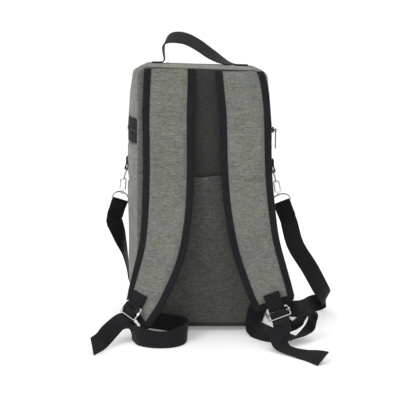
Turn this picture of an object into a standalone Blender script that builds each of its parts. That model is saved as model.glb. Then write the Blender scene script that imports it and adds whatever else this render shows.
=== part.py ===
"""A boxy padded backpack of grey cloth, as one object for each sewn piece and each metal part.

Its shoulder straps face -Y, the bag's front faces +Y, and Z=0 is the floor it stands on.
Lengths are in metres.
"""

import math
from collections import namedtuple

import bmesh
import bpy
from mathutils import Matrix, Vector

# The bag: a back and a front panel joined by a bowed gusset, with a zip all round but the back
BAG_HEIGHT = 0.424
BAG_WIDTH = 0.207
BAG_DEPTH = 0.175
WALL = 0.005
SIDE_BOW = 0.0205
TOP_BOW = 0.005
FOOT_LIFT = 0.0087
FRONT_BOW = 0.009
TOP_CORNER = 0.015
FOOT_CORNER = 0.014
EDGE_INSET = 0.0012
SEAM_GAP = 0.0003
SLUMP = 0.0075

# The zip: two tapes and the coil between them
ZIP_FOOT = 0.305
TAPE_HEIGHT = 0.0148
COIL_HEIGHT = 0.006
TAPE_THICKNESS = 0.0012
COIL_THICKNESS = 0.0024
SLIDER_LENGTH = 0.012
SLIDER_HEIGHT = 0.009
SLIDER_THICKNESS = 0.0025
PULL_LENGTH = 0.030
PULL_WIDTH = 0.007
PULL_THICKNESS = 0.0014

# The pocket panel sewn over the lower back
POCKET_HEIGHT = 0.257
POCKET_CLOTH = 0.0016

# The padded shoulder straps and the tape that binds their edges
STRAP_WIDTH = 0.078
STRAP_THICKNESS = 0.009
STRAP_STAND = 0.040
BINDING_WIDTH = 0.011
BINDING_CLOTH = 0.0008
FLANGE_THICKNESS = 0.003

# Webbing, and the wire hardware that it runs through
WEB_WIDTH = 0.030
WEB_THICKNESS = 0.0016
TAB_WIDTH = 0.025
HANDLE_RISE = 0.046
WIRE_RADIUS = 0.0014
BUCKLE_LENGTH = 0.020
FIT_GAP = 0.0003
SIDE_TAB_HEIGHT = 0.254
RING_DROP = 0.021
DEE_DROP = 0.015

# The snap hooks of the carrying strap
HOOK_ROD = 0.0015
HOOK_HALF_WIDTH = 0.0044
HOOK_HEIGHT = 0.024
GATE_RADIUS = 0.0011
PIN_RADIUS = 0.0006

HALF_WIDTH = BAG_WIDTH / 2
HALF_DEPTH = BAG_DEPTH / 2
ZIP_TOP = ZIP_FOOT + 2 * TAPE_HEIGHT + COIL_HEIGHT + 2 * SEAM_GAP

CLOTH_GREY = (0.165, 0.168, 0.148)
BINDING_BLACK = (0.018, 0.018, 0.021)
WEB_BLACK = (0.008, 0.008, 0.010)
METAL = (0.72, 0.71, 0.68)

# How the bag's width narrows and its sides bow, as shares, at shares of its height
WidthRow = namedtuple("WidthRow", "height width bow")
WIDTH_ROWS = (
    WidthRow(0.00, 1.000, 0.40),
    WidthRow(0.08, 0.998, 0.72),
    WidthRow(0.20, 0.992, 0.88),
    WidthRow(0.50, 0.972, 1.00),
    WidthRow(0.78, 0.956, 1.02),
    WidthRow(0.90, 0.950, 0.86),
    WidthRow(1.00, 0.946, 0.55),
)


def material(name, colour, roughness, metallic=0.0):
    """One Principled material, made once for each name."""
    found = bpy.data.materials.get(name)
    if found:
        return found
    made = bpy.data.materials.new(name)
    made.use_nodes = True
    shader = made.node_tree.nodes["Principled BSDF"]
    shader.inputs["Base Color"].default_value = (*colour, 1)
    shader.inputs["Roughness"].default_value = roughness
    shader.inputs["Metallic"].default_value = metallic
    return made


def grey_cloth():
    return material("grey cloth", CLOTH_GREY, 0.9)


def binding_tape():
    return material("binding tape", BINDING_BLACK, 0.8)


def black_webbing():
    return material("black webbing", WEB_BLACK, 0.75)


def nickel():
    return material("nickel wire", METAL, 0.25, 1.0)


def black_plastic():
    return material("black plastic", BINDING_BLACK, 0.5)


def add_object(name, mesh, finish, collection):
    """Puts a mesh in the scene as one named piece."""
    piece = bpy.data.objects.new(name, mesh)
    mesh.materials.clear()
    mesh.materials.append(finish)
    collection.objects.link(piece)
    return piece


def mesh_of(vertices, faces):
    mesh = bpy.data.meshes.new("shape")
    mesh.from_pydata(vertices, [], faces)
    return mesh


def sheet_mesh(rows):
    """An open surface through rows of points, each row as long as the others."""
    across = len(rows[0])
    faces = [
        (i * across + j, i * across + j + 1, (i + 1) * across + j + 1, (i + 1) * across + j)
        for i in range(len(rows) - 1)
        for j in range(across - 1)
    ]
    return mesh_of([point for row in rows for point in row], faces)


def loft_mesh(sections):
    """A closed solid through sections of equal count, with both ends filled."""
    count = len(sections[0])
    faces = []
    for i in range(len(sections) - 1):
        for j in range(count):
            a, b = i * count + j, i * count + (j + 1) % count
            if j < count / 2:
                faces += [(a, b, b + count), (a, b + count, a + count)]
            else:
                faces += [(b, b + count, a + count), (b, a + count, a)]
    last = (len(sections) - 1) * count
    faces.append(tuple(reversed(range(count))))
    faces.append(tuple(range(last, last + count)))
    mesh = mesh_of([point for section in sections for point in section], faces)
    shape = bmesh.new()
    shape.from_mesh(mesh)
    bmesh.ops.recalc_face_normals(shape, faces=shape.faces)
    shape.to_mesh(mesh)
    shape.free()
    return mesh


def thicken(piece, thickness, offset):
    shell = piece.modifiers.new("cloth thickness", "SOLIDIFY")
    shell.thickness = thickness
    shell.offset = offset
    shell.use_even_offset = True
    return piece


def evaluated_mesh(piece):
    graph = bpy.context.evaluated_depsgraph_get()
    return bpy.data.meshes.new_from_object(piece.evaluated_get(graph))


def hang_at(piece, pivot):
    """Puts the piece's origin on its joint's axis, its shape staying where it is."""
    piece.data.transform(Matrix.Translation(-Vector(pivot)))
    piece.location = pivot


def baked(piece, tolerance=1e-6):
    """The piece as a plain mesh object, its modifiers or bevel worked in and its caps welded."""
    mesh = evaluated_mesh(piece)
    shape = bmesh.new()
    shape.from_mesh(mesh)
    bmesh.ops.remove_doubles(shape, verts=shape.verts, dist=tolerance)
    bmesh.ops.recalc_face_normals(shape, faces=shape.faces)
    shape.to_mesh(mesh)
    shape.free()
    made = bpy.data.objects.new(piece.name, mesh)
    made.matrix_world = piece.matrix_world.copy()
    for collection in piece.users_collection:
        collection.objects.link(made)
    name = piece.name
    bpy.data.objects.remove(piece)
    made.name = name
    return made


def combine(piece, others, operation):
    """Joins others to the piece or cuts them from it, and takes them away."""
    for other in others:
        joint = piece.modifiers.new("joint", "BOOLEAN")
        joint.operation = operation
        joint.object = other
        joint.solver = "EXACT"
    bpy.context.view_layer.update()
    made = baked(piece)
    for other in others:
        bpy.data.objects.remove(other)
    return made


def wire(name, points, radius, closed, finish, collection, sides=2):
    """Round wire along points, as a mesh."""
    curve = bpy.data.curves.new(name, "CURVE")
    curve.dimensions = "3D"
    curve.bevel_depth = radius
    curve.bevel_resolution = sides
    curve.use_fill_caps = not closed
    spline = curve.splines.new("POLY")
    spline.points.add(len(points) - 1)
    for slot, point in zip(spline.points, points):
        slot.co = (*point, 1)
    spline.use_cyclic_u = closed
    curve.materials.append(finish)
    piece = bpy.data.objects.new(name, curve)
    collection.objects.link(piece)
    bpy.context.view_layer.update()
    return baked(piece)


def cylinder(name, start, end, radius, finish, collection, sides=16):
    """A straight round bar between two points."""
    start, end = Vector(start), Vector(end)
    axis = end - start
    shape = bmesh.new()
    bmesh.ops.create_cone(
        shape, cap_ends=True, segments=sides, radius1=radius, radius2=radius, depth=axis.length
    )
    turn = axis.to_track_quat("Z", "Y").to_matrix().to_4x4()
    bmesh.ops.transform(shape, matrix=Matrix.Translation((start + end) / 2) @ turn, verts=shape.verts)
    mesh = bpy.data.meshes.new(name)
    shape.to_mesh(mesh)
    shape.free()
    return add_object(name, mesh, finish, collection)


def block(name, low, high, finish, collection):
    """A square-cut block between two corners."""
    low, high = Vector(low), Vector(high)
    shape = bmesh.new()
    bmesh.ops.create_cube(shape, size=1)
    size = high - low
    bmesh.ops.scale(shape, vec=size, verts=shape.verts)
    bmesh.ops.translate(shape, vec=(low + high) / 2, verts=shape.verts)
    mesh = bpy.data.meshes.new(name)
    shape.to_mesh(mesh)
    shape.free()
    return add_object(name, mesh, finish, collection)


def interpolate(rows, at, column):
    """A column of a table of rows between the two rows whose first columns hold the value."""
    for low, high in zip(rows, rows[1:]):
        if at <= high[0]:
            break
    share = min(1.0, max(0.0, (at - low[0]) / (high[0] - low[0])))
    return low[column] + (high[column] - low[column]) * share


def smooth_chain(keys, steps):
    """Points along a smooth curve through vectors of any length, with steps between each pair."""
    count = len(keys[0])
    ends = [
        [2 * keys[0][k] - keys[1][k] for k in range(count)],
        [2 * keys[-1][k] - keys[-2][k] for k in range(count)],
    ]
    padded = [ends[0], *keys, ends[1]]
    made = []
    for a, b, c, d in zip(padded, padded[1:], padded[2:], padded[3:]):
        for i in range(steps):
            t = i / steps
            made.append(
                [
                    0.5 * (2 * q + (r - p) * t + (2 * p - 5 * q + 4 * r - s) * t**2
                           + (3 * q - p - 3 * r + s) * t**3)
                    for p, q, r, s in zip(a, b, c, d)
                ]
            )
    made.append(list(keys[-1]))
    return made


# The bag's form

def settle(x, z):
    """Where a point of the square-cut bag comes to lie: narrower towards the top, lower on the right."""
    width = interpolate(WIDTH_ROWS, z / BAG_HEIGHT, 1)
    return x * width, z * (1 - SLUMP * x / HALF_WIDTH)


def side_bow(z):
    return SIDE_BOW * interpolate(WIDTH_ROWS, z / BAG_HEIGHT, 2)


def bow_profile(share, sharpness):
    """From 0 at both seams to 1 in the middle of a gusset's depth."""
    return 1 - abs(2 * share - 1) ** sharpness


def foot_profile(share):
    """The foot's bow, pressed flat where the bag stands on it."""
    return min(1.0, 1.12 * bow_profile(share, 6))


DEPTH_SHARES = (0.0, 0.03, 0.09, 0.18, 0.32, 0.5, 0.68, 0.82, 0.91, 0.97, 1.0)
WIDTH_SHARES = (-1, -0.985, -0.95, -0.9, -0.855, -0.5, 0, 0.5, 0.855, 0.9, 0.95, 0.985, 1)
GUSSET_BACK = -HALF_DEPTH + WALL + SEAM_GAP
GUSSET_FRONT = HALF_DEPTH - WALL - SEAM_GAP


def gusset_point(x, z, outward, share, proud=0.0):
    """A point of the gusset over the seam line's point x, z, at a share of the depth."""
    sideways, upright = outward[0] ** 2, outward[1] ** 2
    ends = TOP_BOW * bow_profile(share, 2.4) if outward[1] > 0 else FOOT_LIFT * foot_profile(share)
    bow = sideways * side_bow(z) * bow_profile(share, 2.4) + upright * ends
    inset = EDGE_INSET * sideways if outward[1] < 0 else EDGE_INSET
    reach = bow - inset + proud
    there = settle(x + outward[0] * reach, z + outward[1] * reach)
    return (there[0], GUSSET_BACK + (GUSSET_FRONT - GUSSET_BACK) * share, there[1])


def seam_path(open_z, closed_z, corner, side_steps=5, corner_steps=4, cross_steps=4):
    """The seam line from one open side end round the closed end to the other, with outward directions."""
    way = 1 if closed_z > open_z else -1
    turn_z = closed_z - way * corner
    inner = HALF_WIDTH - corner
    left = [((-HALF_WIDTH, open_z + (turn_z - open_z) * i / side_steps), (-1, 0)) for i in range(side_steps)]
    quarter = [
        (math.cos(math.radians(a)), math.sin(math.radians(a)))
        for a in (90 - 90 * i / corner_steps for i in range(corner_steps + 1))
    ]
    first = [((-inner - corner * s, turn_z + way * corner * c), (-s, way * c)) for s, c in
             [(q[1], q[0]) for q in quarter]]
    cross = [((-inner + 2 * inner * i / cross_steps, closed_z), (0, way)) for i in range(1, cross_steps)]
    path = left + first + cross
    return path + [((-x, z), (-n, m)) for (x, z), (n, m) in reversed(left + first)]


def front_y(share, z):
    """The front panel's face, crowned between its seams."""
    upright = 2 * z / BAG_HEIGHT - 1
    return HALF_DEPTH + FRONT_BOW * (1 - share**4) * (1 - upright**4)


def corner_drop(share, corner):
    """How far a rounded corner has dropped away at a share of the panel's half width."""
    past = abs(share) * HALF_WIDTH - (HALF_WIDTH - corner)
    return corner - math.sqrt(max(corner**2 - past**2, 0.0)) if past > 0 and corner > 0 else 0.0


def panel_rows(low, high, low_corner, high_corner, depth_of, steps=7):
    """Rows of points of a flat panel between two heights, with its corners rounded."""
    rows = []
    for i in range(steps + 1):
        row = []
        for share in WIDTH_SHARES:
            foot = low + corner_drop(share, low_corner)
            head = high - corner_drop(share, high_corner)
            z = foot + (head - foot) * i / steps
            x, settled = settle(share * HALF_WIDTH, z)
            row.append((x, depth_of(share, z), settled))
        rows.append(row)
    return rows


def make_panels(collection):
    """The back panel, the pocket panel over it, and the two front panels."""
    back = sheet_mesh(
        panel_rows(FOOT_LIFT, BAG_HEIGHT, FOOT_CORNER, TOP_CORNER, lambda share, z: -HALF_DEPTH)
    )
    thicken(add_object("back_panel", back, grey_cloth(), collection), WALL, -1)
    mouth = POCKET_HEIGHT
    lift = POCKET_CLOTH / 2

    def pocket_y(share, z):
        gape = lift * (z / mouth) ** 6 * (1 - share**2)
        return -HALF_DEPTH - SEAM_GAP - POCKET_CLOTH - gape

    pocket = sheet_mesh(
        panel_rows(FOOT_LIFT, mouth, FOOT_CORNER, 0, pocket_y, 5)
    )
    thicken(add_object("back_pocket", pocket, grey_cloth(), collection), POCKET_CLOTH, -1)
    for name, low, high, corners in (
        ("front_panel_lower", FOOT_LIFT, ZIP_FOOT, (FOOT_CORNER, 0)),
        ("front_panel_lid", ZIP_TOP, BAG_HEIGHT, (0, TOP_CORNER)),
    ):
        rows = panel_rows(low, high, *corners, front_y, 5)
        panel = sheet_mesh([list(reversed(row)) for row in rows])
        thicken(add_object(name, panel, grey_cloth(), collection), WALL, -1)


def make_gussets(collection):
    """The strip that joins the panels, in its lower part and its lid part."""
    for name, open_z, closed_z, corner in (
        ("gusset_lower", ZIP_FOOT, FOOT_LIFT, FOOT_CORNER),
        ("gusset_lid", ZIP_TOP, BAG_HEIGHT, TOP_CORNER),
    ):
        rows = [
            [gusset_point(x, z, outward, share) for share in DEPTH_SHARES]
            for (x, z), outward in seam_path(open_z, closed_z, corner)
        ]
        if closed_z > open_z:
            rows = rows[::-1]
        thicken(add_object(name, sheet_mesh(rows), grey_cloth(), collection), WALL, -1)


def zip_ring(z, proud):
    """The line round the left side, the front and the right side at one height."""
    left = [gusset_point(-HALF_WIDTH, z, (-1, 0), share, proud) for share in DEPTH_SHARES]
    right = [gusset_point(HALF_WIDTH, z, (1, 0), share, proud) for share in reversed(DEPTH_SHARES)]
    front = []
    for share in WIDTH_SHARES[1:-1]:
        x, settled = settle(share * HALF_WIDTH, z)
        front.append((x, front_y(share, z) + proud, settled))
    return left + front + right


def make_zip(collection):
    """The two tapes and the coil that close the lid."""
    levels = (
        ("zip_tape_lower", ZIP_FOOT + SEAM_GAP, TAPE_HEIGHT - SEAM_GAP, TAPE_THICKNESS, 0.0004),
        ("zip_coil", ZIP_FOOT + TAPE_HEIGHT + SEAM_GAP, COIL_HEIGHT, COIL_THICKNESS, 0.0016),
        ("zip_tape_upper", ZIP_TOP - TAPE_HEIGHT, TAPE_HEIGHT - SEAM_GAP, TAPE_THICKNESS, 0.0004),
    )
    for name, foot, height, thickness, proud in levels:
        rows = [zip_ring(foot, proud), zip_ring(foot + height, proud)]
        finish = black_plastic() if name == "zip_coil" else binding_tape()
        thicken(add_object(name, sheet_mesh(rows[::-1]), finish, collection), thickness, -1)


def make_zip_pull(collection):
    """The slider on the coil's right side, with the tab that hangs from its arch by a ring."""
    coil_middle = ZIP_FOOT + TAPE_HEIGHT + SEAM_GAP + COIL_HEIGHT / 2
    seat = Vector(gusset_point(HALF_WIDTH, coil_middle, (1, 0), 0.5, 0.0016))
    low = seat.x + FIT_GAP
    arch_x = low + SLIDER_THICKNESS + 0.0033
    half_length, half_height = SLIDER_LENGTH / 2, SLIDER_HEIGHT / 2
    black = material("black slider", BINDING_BLACK, 0.35, 0.6)
    body = block(
        "zip_slider",
        (low, seat.y - half_length, seat.z - half_height),
        (low + SLIDER_THICKNESS, seat.y + half_length, seat.z + half_height),
        black,
        collection,
    )
    strip, leg = 0.0005, 0.0008
    arch_half = half_length - 0.0022
    overlap = 0.0005
    parts = [
        block("arch_top", (arch_x - strip, seat.y - arch_half, seat.z - leg),
              (arch_x + strip, seat.y + arch_half, seat.z + leg), black, collection)
    ]
    for way in (-1, 1):
        y = seat.y + way * (arch_half - leg)
        parts.append(
            block("arch_leg", (low + SLIDER_THICKNESS - overlap, y - leg, seat.z - leg),
                  (arch_x + overlap * 0.5, y + leg, seat.z + leg), black, collection)
        )
    combine(body, parts, "UNION")
    ring_wire, ring_inner, ring_offset = 0.0005, 0.0020, 0.0008
    ring_radius = ring_inner + ring_wire
    centre = Vector((arch_x, seat.y, seat.z - ring_offset))
    ring = [
        centre + ring_radius * Vector((math.cos(a), 0, math.sin(a)))
        for a in (2 * math.pi * i / 14 for i in range(14))
    ]
    pivot = Vector((arch_x, seat.y, seat.z))
    hang_at(wire("pull_ring", ring, ring_wire, True, black, collection, 1), pivot)
    hole_z = centre.z - ring_radius
    tab_top = seat.z - math.hypot(strip, leg) - FIT_GAP
    tab = block(
        "pull_tab",
        (arch_x - PULL_THICKNESS / 2, seat.y - PULL_WIDTH / 2, tab_top - PULL_LENGTH),
        (arch_x + PULL_THICKNESS / 2, seat.y + PULL_WIDTH / 2, tab_top),
        black_plastic(),
        collection,
    )
    eye = cylinder("eye_cut", (arch_x - 0.002, seat.y, hole_z), (arch_x + 0.002, seat.y, hole_z),
                   0.0011, black, collection, 10)
    hang_at(combine(tab, [eye], "DIFFERENCE"), pivot)


# Webbing

CREASE_STEP = 0.0005
RouteRow = namedtuple("RouteRow", "x y z ax ay az")


def webbing_sections(chain, width, thickness, floor):
    """Sections of webbing along a chain of points and across directions, lifted clear of the floor.

    Where it creases, a section whose edge would fold back behind the last one's is left out.
    """
    points = [Vector(row[:3]) for row in chain]
    sections = []
    edges = None
    for i, row in enumerate(chain):
        before = (points[i] - points[max(i - 1, 0)]).normalized()
        after = (points[min(i + 1, len(points) - 1)] - points[i]).normalized()
        tangent = (before + after).normalized()
        across = Vector(row[3:6])
        across = (across - across.dot(tangent) * tangent).normalized()
        face = across.cross(tangent)
        bend = max(0.75, tangent.dot(after if after.length else before))
        side, out = across * width / 2, face * thickness / 2 / bend
        centre = points[i].copy()
        if floor:
            centre.z = max(centre.z, abs(side.z) + abs(out.z) + FIT_GAP)
        folds_back = edges and min((centre - side - edges[0]).dot(tangent), (centre + side - edges[1]).dot(tangent))
        if edges and folds_back < CREASE_STEP and i < len(chain) - 1:
            continue
        edges = (centre - side, centre + side)
        corners = (centre - side - out, centre + side - out, centre + side + out, centre - side + out)
        sections.append([tuple(corner) for corner in corners])
    return sections


def webbing(name, chain, width, collection, thickness=WEB_THICKNESS, floor=True):
    """Flat webbing with square ends."""
    return add_object(
        name, loft_mesh(webbing_sections(chain, width, thickness, floor)), black_webbing(), collection
    )


# Where the handle runs: sideways as a share of the half width, depth as a share of the half depth,
# its height above the top as a share of its rise, and the direction across it
HANDLE_ROUTE = (
    RouteRow(-0.76, 0.02, 0.00, 0, 1, 0),
    RouteRow(-0.68, 0.02, 0.00, 0, 1, 0),
    RouteRow(-0.60, 0.02, 0.02, 0, 1, 0),
    RouteRow(-0.565, 0.01, 0.12, 0, 1, 0.02),
    RouteRow(-0.575, 0.00, 0.40, 0.05, 1, 0.04),
    RouteRow(-0.565, -0.03, 0.66, 0.10, 0.95, 0.20),
    RouteRow(-0.49, -0.07, 0.84, 0.05, 0.85, 0.45),
    RouteRow(-0.36, -0.09, 0.90, 0.0, 0.80, 0.60),
    RouteRow(-0.20, -0.10, 0.84, 0.05, 0.78, 0.62),
    RouteRow(-0.02, -0.09, 0.64, 0.10, 0.78, 0.62),
    RouteRow(0.14, -0.07, 0.40, 0.12, 0.80, 0.58),
    RouteRow(0.30, -0.03, 0.20, 0.10, 0.88, 0.42),
    RouteRow(0.44, 0.00, 0.07, 0.02, 0.97, 0.18),
    RouteRow(0.56, 0.02, 0.01, 0, 1, 0),
    RouteRow(0.66, 0.02, 0.00, 0, 1, 0),
    RouteRow(0.76, 0.02, 0.00, 0, 1, 0),
)


def top_surface(x):
    """The height of the bag's top at mid depth."""
    return Vector(gusset_point(x, BAG_HEIGHT, (0, 1), 0.5)).z


def make_handle(collection):
    """The grab handle of webbing, with both ends sewn flat to the top."""
    bed = WEB_THICKNESS / 2 + FIT_GAP
    keys = []
    for row in HANDLE_ROUTE:
        x = row.x * HALF_WIDTH
        z = top_surface(x) + bed + row.z * HANDLE_RISE
        keys.append((x, row.y * HALF_DEPTH, z, row.ax, row.ay, row.az))
    webbing("grab_handle", smooth_chain(keys, 3), WEB_WIDTH, collection, floor=False)


# Shoulder straps

# Down each strap: height and sideways place as shares of the bag's, how far it stands off the bag,
# the direction across it towards +X, and its width and thickness as shares of the strap's
StrapRow = namedtuple("StrapRow", "height x stand ax ay az width thickness")
LEFT_STRAP = (
    StrapRow(1.000, -0.457, -0.105, 1, 0, 0, 0.97, 0.55),
    StrapRow(0.960, -0.462, -0.060, 1, 0, 0, 0.99, 0.95),
    StrapRow(0.832, -0.480, 0.04, 1, 0, 0, 1.00, 1.00),
    StrapRow(0.644, -0.480, 0.08, 1, -0.02, 0, 1.00, 1.00),
    StrapRow(0.502, -0.498, 0.15, 1, -0.08, -0.03, 1.00, 1.00),
    StrapRow(0.409, -0.531, 0.25, 0.97, -0.20, -0.12, 0.99, 1.00),
    StrapRow(0.320, -0.591, 0.38, 0.94, -0.30, -0.22, 0.97, 1.00),
    StrapRow(0.220, -0.726, 0.53, 0.84, -0.47, -0.28, 0.94, 1.00),
    StrapRow(0.146, -0.850, 0.62, 0.72, -0.58, -0.38, 0.89, 1.00),
    StrapRow(0.078, -0.985, 0.69, 0.48, -0.70, -0.50, 0.82, 0.90),
)
RIGHT_STRAP = (
    StrapRow(0.990, 0.590, -0.105, 1, 0, 0, 0.93, 0.55),
    StrapRow(0.950, 0.625, -0.060, 1, 0, 0.02, 0.98, 0.95),
    StrapRow(0.832, 0.679, 0.04, 1, 0, 0.02, 1.00, 1.00),
    StrapRow(0.644, 0.703, 0.08, 1, 0, 0.03, 1.00, 1.00),
    StrapRow(0.502, 0.750, 0.13, 1, 0, 0.11, 1.00, 1.00),
    StrapRow(0.359, 0.842, 0.22, 0.98, 0.02, 0.20, 0.97, 1.00),
    StrapRow(0.260, 0.958, 0.35, 0.96, 0.04, 0.28, 0.94, 1.00),
    StrapRow(0.178, 1.069, 0.48, 0.95, 0.05, 0.30, 0.90, 1.00),
    StrapRow(0.121, 1.155, 0.57, 0.95, 0.05, 0.31, 0.83, 0.90),
)
POCKET_FACE = -HALF_DEPTH - SEAM_GAP - 1.5 * POCKET_CLOTH


def strap_frames(rows, steps=2):
    """Down a strap: centre, across, outward and downward directions, half width, half thickness."""
    keys = []
    for row in rows:
        y = POCKET_FACE - STRAP_THICKNESS / 2 - row.stand * STRAP_STAND
        place = (row.x * HALF_WIDTH, y, row.height * BAG_HEIGHT)
        keys.append((*place, row.ax, row.ay, row.az, row.width, row.thickness))
    chain = smooth_chain(keys, steps)
    lengths = [0.0]
    for a, b in zip(chain, chain[1:]):
        lengths.append(lengths[-1] + (Vector(b[:3]) - Vector(a[:3])).length)
    total = lengths[-1]
    flange_start = total - BINDING_WIDTH - 0.0012
    stations = [s for s in lengths if s < flange_start - 0.008] + [flange_start - 0.005, flange_start, total]
    table = [(s, *row) for s, row in zip(lengths, chain)]
    rows_at = [[interpolate(table, s, k) for k in range(1, 9)] for s in stations]
    rows_at[-1][3:6] = rows_at[-2][3:6]
    points = [Vector(row[:3]) for row in rows_at]
    frames = []
    for i, row in enumerate(rows_at):
        low = min(i + 1, len(points) - 1)
        high = i if i == len(points) - 2 else max(i - 1, 0)
        tangent = (points[low] - points[high]).normalized()
        across = Vector(row[3:6]).normalized()
        face = across.cross(tangent).normalized()
        if face.y > 0:
            face = -face
        swell = row[7] * STRAP_THICKNESS / 2 if i < len(rows_at) - 2 else FLANGE_THICKNESS / 2
        frames.append((points[i], across, face, tangent, row[6] * STRAP_WIDTH / 2, swell))
    return frames


def pad_section(half_width, half_thickness):
    """The padded strap's section: a thick middle between thin flanges."""
    flange = FLANGE_THICKNESS / 2
    start = half_width - BINDING_WIDTH - 0.0006
    shoulder = flange + (half_thickness - flange) * 0.7
    right = ((half_width, flange), (start, flange), (start - 0.0015, shoulder), (start - 0.005, half_thickness))
    top = right + tuple((-x, y) for x, y in reversed(right))
    return top + tuple((x, -y) for x, y in reversed(top))


def make_pad(name, frames, collection):
    sections = []
    for centre, across, face, _, half_width, half_thickness in frames:
        section = pad_section(half_width, max(half_thickness, FLANGE_THICKNESS / 2 + 0.00001))
        sections.append([tuple(centre + across * u + face * n) for u, n in section])
    return add_object(name, loft_mesh(sections), grey_cloth(), collection)


def channel_section():
    """The binding's folded section, as distances in from the edge and out of the face."""
    inner = FLANGE_THICKNESS / 2 + FIT_GAP
    outer = inner + BINDING_CLOTH
    back, fold = -FIT_GAP, -FIT_GAP - BINDING_CLOTH
    lip = BINDING_WIDTH
    return ((fold, -outer), (lip, -outer), (lip, -inner), (back, -inner),
            (back, inner), (lip, inner), (lip, outer), (fold, outer))


def make_binding(name, frames, collection):
    """One tape folded over the strap's edge: down one side, round the end and up the other."""

    def edge_point(frame, side, d, n):
        centre, across, face, _, half_width, _ = frame
        return centre + across * side * (half_width - d) + face * n

    last_step = (frames[-1][0] - frames[-2][0]).length
    left = [[edge_point(f, -1, d, n) for d, n in channel_section()] for f in frames[:-1]]
    right = [[edge_point(f, 1, d, n) for d, n in channel_section()] for f in frames[:-1]]
    corners = [
        [
            edge_point(frames[-1], side, d, n).lerp(edge_point(frames[-2], side, d, n), d / last_step)
            for d, n in channel_section()
        ]
        for side in (-1, 1)
    ]
    sections = left + corners + right[::-1]
    return add_object(name, loft_mesh([[tuple(p) for p in s] for s in sections]), binding_tape(), collection)


def frame_at(frames, back):
    """The strap's centre, across and outward directions at a distance before its end."""
    gone = 0.0
    for here, above in zip(frames[::-1], frames[-2::-1]):
        step = (here[0] - above[0]).length
        if gone + step >= back:
            share = (back - gone) / step
            return [here[k].lerp(above[k], share) for k in range(3)]
        gone += step
    return list(frames[0][:3])


# Wire hardware

class Frame:
    """A place with its own directions: along, up, and out of their plane."""

    def __init__(self, origin, along, up):
        self.origin = Vector(origin)
        self.along = Vector(along).normalized()
        up = Vector(up)
        self.up = (up - up.dot(self.along) * self.along).normalized()
        self.out = self.along.cross(self.up)

    def at(self, a, u, n=0.0):
        return self.origin + self.along * a + self.up * u + self.out * n


def arc_points(centre, radius, start, end, steps):
    """Points of an arc in two coordinates, its angles in degrees."""
    return [
        (centre[0] + radius * math.cos(math.radians(a)), centre[1] + radius * math.sin(math.radians(a)))
        for a in (start + (end - start) * i / steps for i in range(steps + 1))
    ]


def rounded_loop(half_width, low, high, corner, steps=3):
    """A closed rectangle with round corners, in two coordinates."""
    loop = []
    for cx, cy, start in (
        (half_width - corner, high - corner, 0),
        (-half_width + corner, high - corner, 90),
        (-half_width + corner, low + corner, 180),
        (half_width - corner, low + corner, 270),
    ):
        loop += arc_points((cx, cy), corner, start, start + 90, steps)
    return loop


def dee_loop(half_width, drop, corner=0.002):
    """A closed D: a straight bar at 0 and a bow that reaches the drop."""
    loop = arc_points((half_width - corner, corner), corner, -90, 0, 2)
    rise = drop - corner
    for i in range(1, 8):
        angle = math.pi * i / 8
        loop.append((half_width * math.cos(angle), corner + rise * math.sin(angle) ** 0.8))
    return loop + arc_points((-half_width + corner, corner), corner, 180, 270, 2)


BAR_WRAP = WIRE_RADIUS + FIT_GAP + WEB_THICKNESS / 2
HALF_BUCKLE = BUCKLE_LENGTH / 2
LAYER = WEB_THICKNESS + FIT_GAP
SLIDE_UP = 0.0012

# Where each buckle sits by its strap's end: how far its top bar is beyond the end, its sideways shift,
# how far it stands off the face, and how many degrees it is tipped
BuckleRow = namedtuple("BuckleRow", "reach shift stand pitch")
BUCKLES = {
    "left": BuckleRow(-0.0170, -0.0070, 0.0092, 17),
    "right": BuckleRow(0.0042, 0.0, 0.0076, 52),
}


def buckle_place(side, frames):
    """The buckle's frame, its along direction the same as the strap's across."""
    row = BUCKLES[side]
    centre, across, face, tangent, _, _ = frames[-1]
    along = (across - across.dot(tangent) * tangent).normalized()
    out = -tangent.cross(along)
    sign = 1 if out.dot(face) > 0 else -1
    pitch = math.radians(row.pitch)
    up = -tangent * math.cos(pitch) - out * sign * math.sin(pitch)
    if row.reach < 0:
        centre, across, face = frame_at(frames, -row.reach)
        top = centre
    else:
        top = centre + tangent * row.reach
    place = Frame(top + across * row.shift + face * row.stand, along, up)
    if place.out.dot(face) < 0:
        place.out = -place.out
    place.origin = place.at(0, -HALF_BUCKLE)
    return place


def make_buckle(side, place, collection):
    """The wire frame, and the bar that slides on its sides."""
    half = WEB_WIDTH / 2 + WIRE_RADIUS + 0.0012
    loop = rounded_loop(half, -HALF_BUCKLE, HALF_BUCKLE, 0.002)
    wire(f"buckle_frame_{side}", [place.at(a, u) for a, u in loop], WIRE_RADIUS, True, nickel(), collection)
    bar = cylinder(
        f"buckle_bar_{side}", place.at(-half, SLIDE_UP), place.at(half, SLIDE_UP), WIRE_RADIUS, nickel(),
        collection, 12,
    )
    sleeves, bores = [], []
    for way in (-1, 1):
        ends = (place.at(way * half, SLIDE_UP - 0.002), place.at(way * half, SLIDE_UP + 0.002))
        sleeves.append(cylinder("sleeve", *ends, WIRE_RADIUS + 0.0011, nickel(), collection, 12))
        ends = (place.at(way * half, SLIDE_UP - 0.004), place.at(way * half, SLIDE_UP + 0.004))
        bores.append(cylinder("bore", *ends, WIRE_RADIUS + FIT_GAP, nickel(), collection, 12))
    combine(combine(bar, sleeves, "UNION"), bores, "DIFFERENCE")


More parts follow.
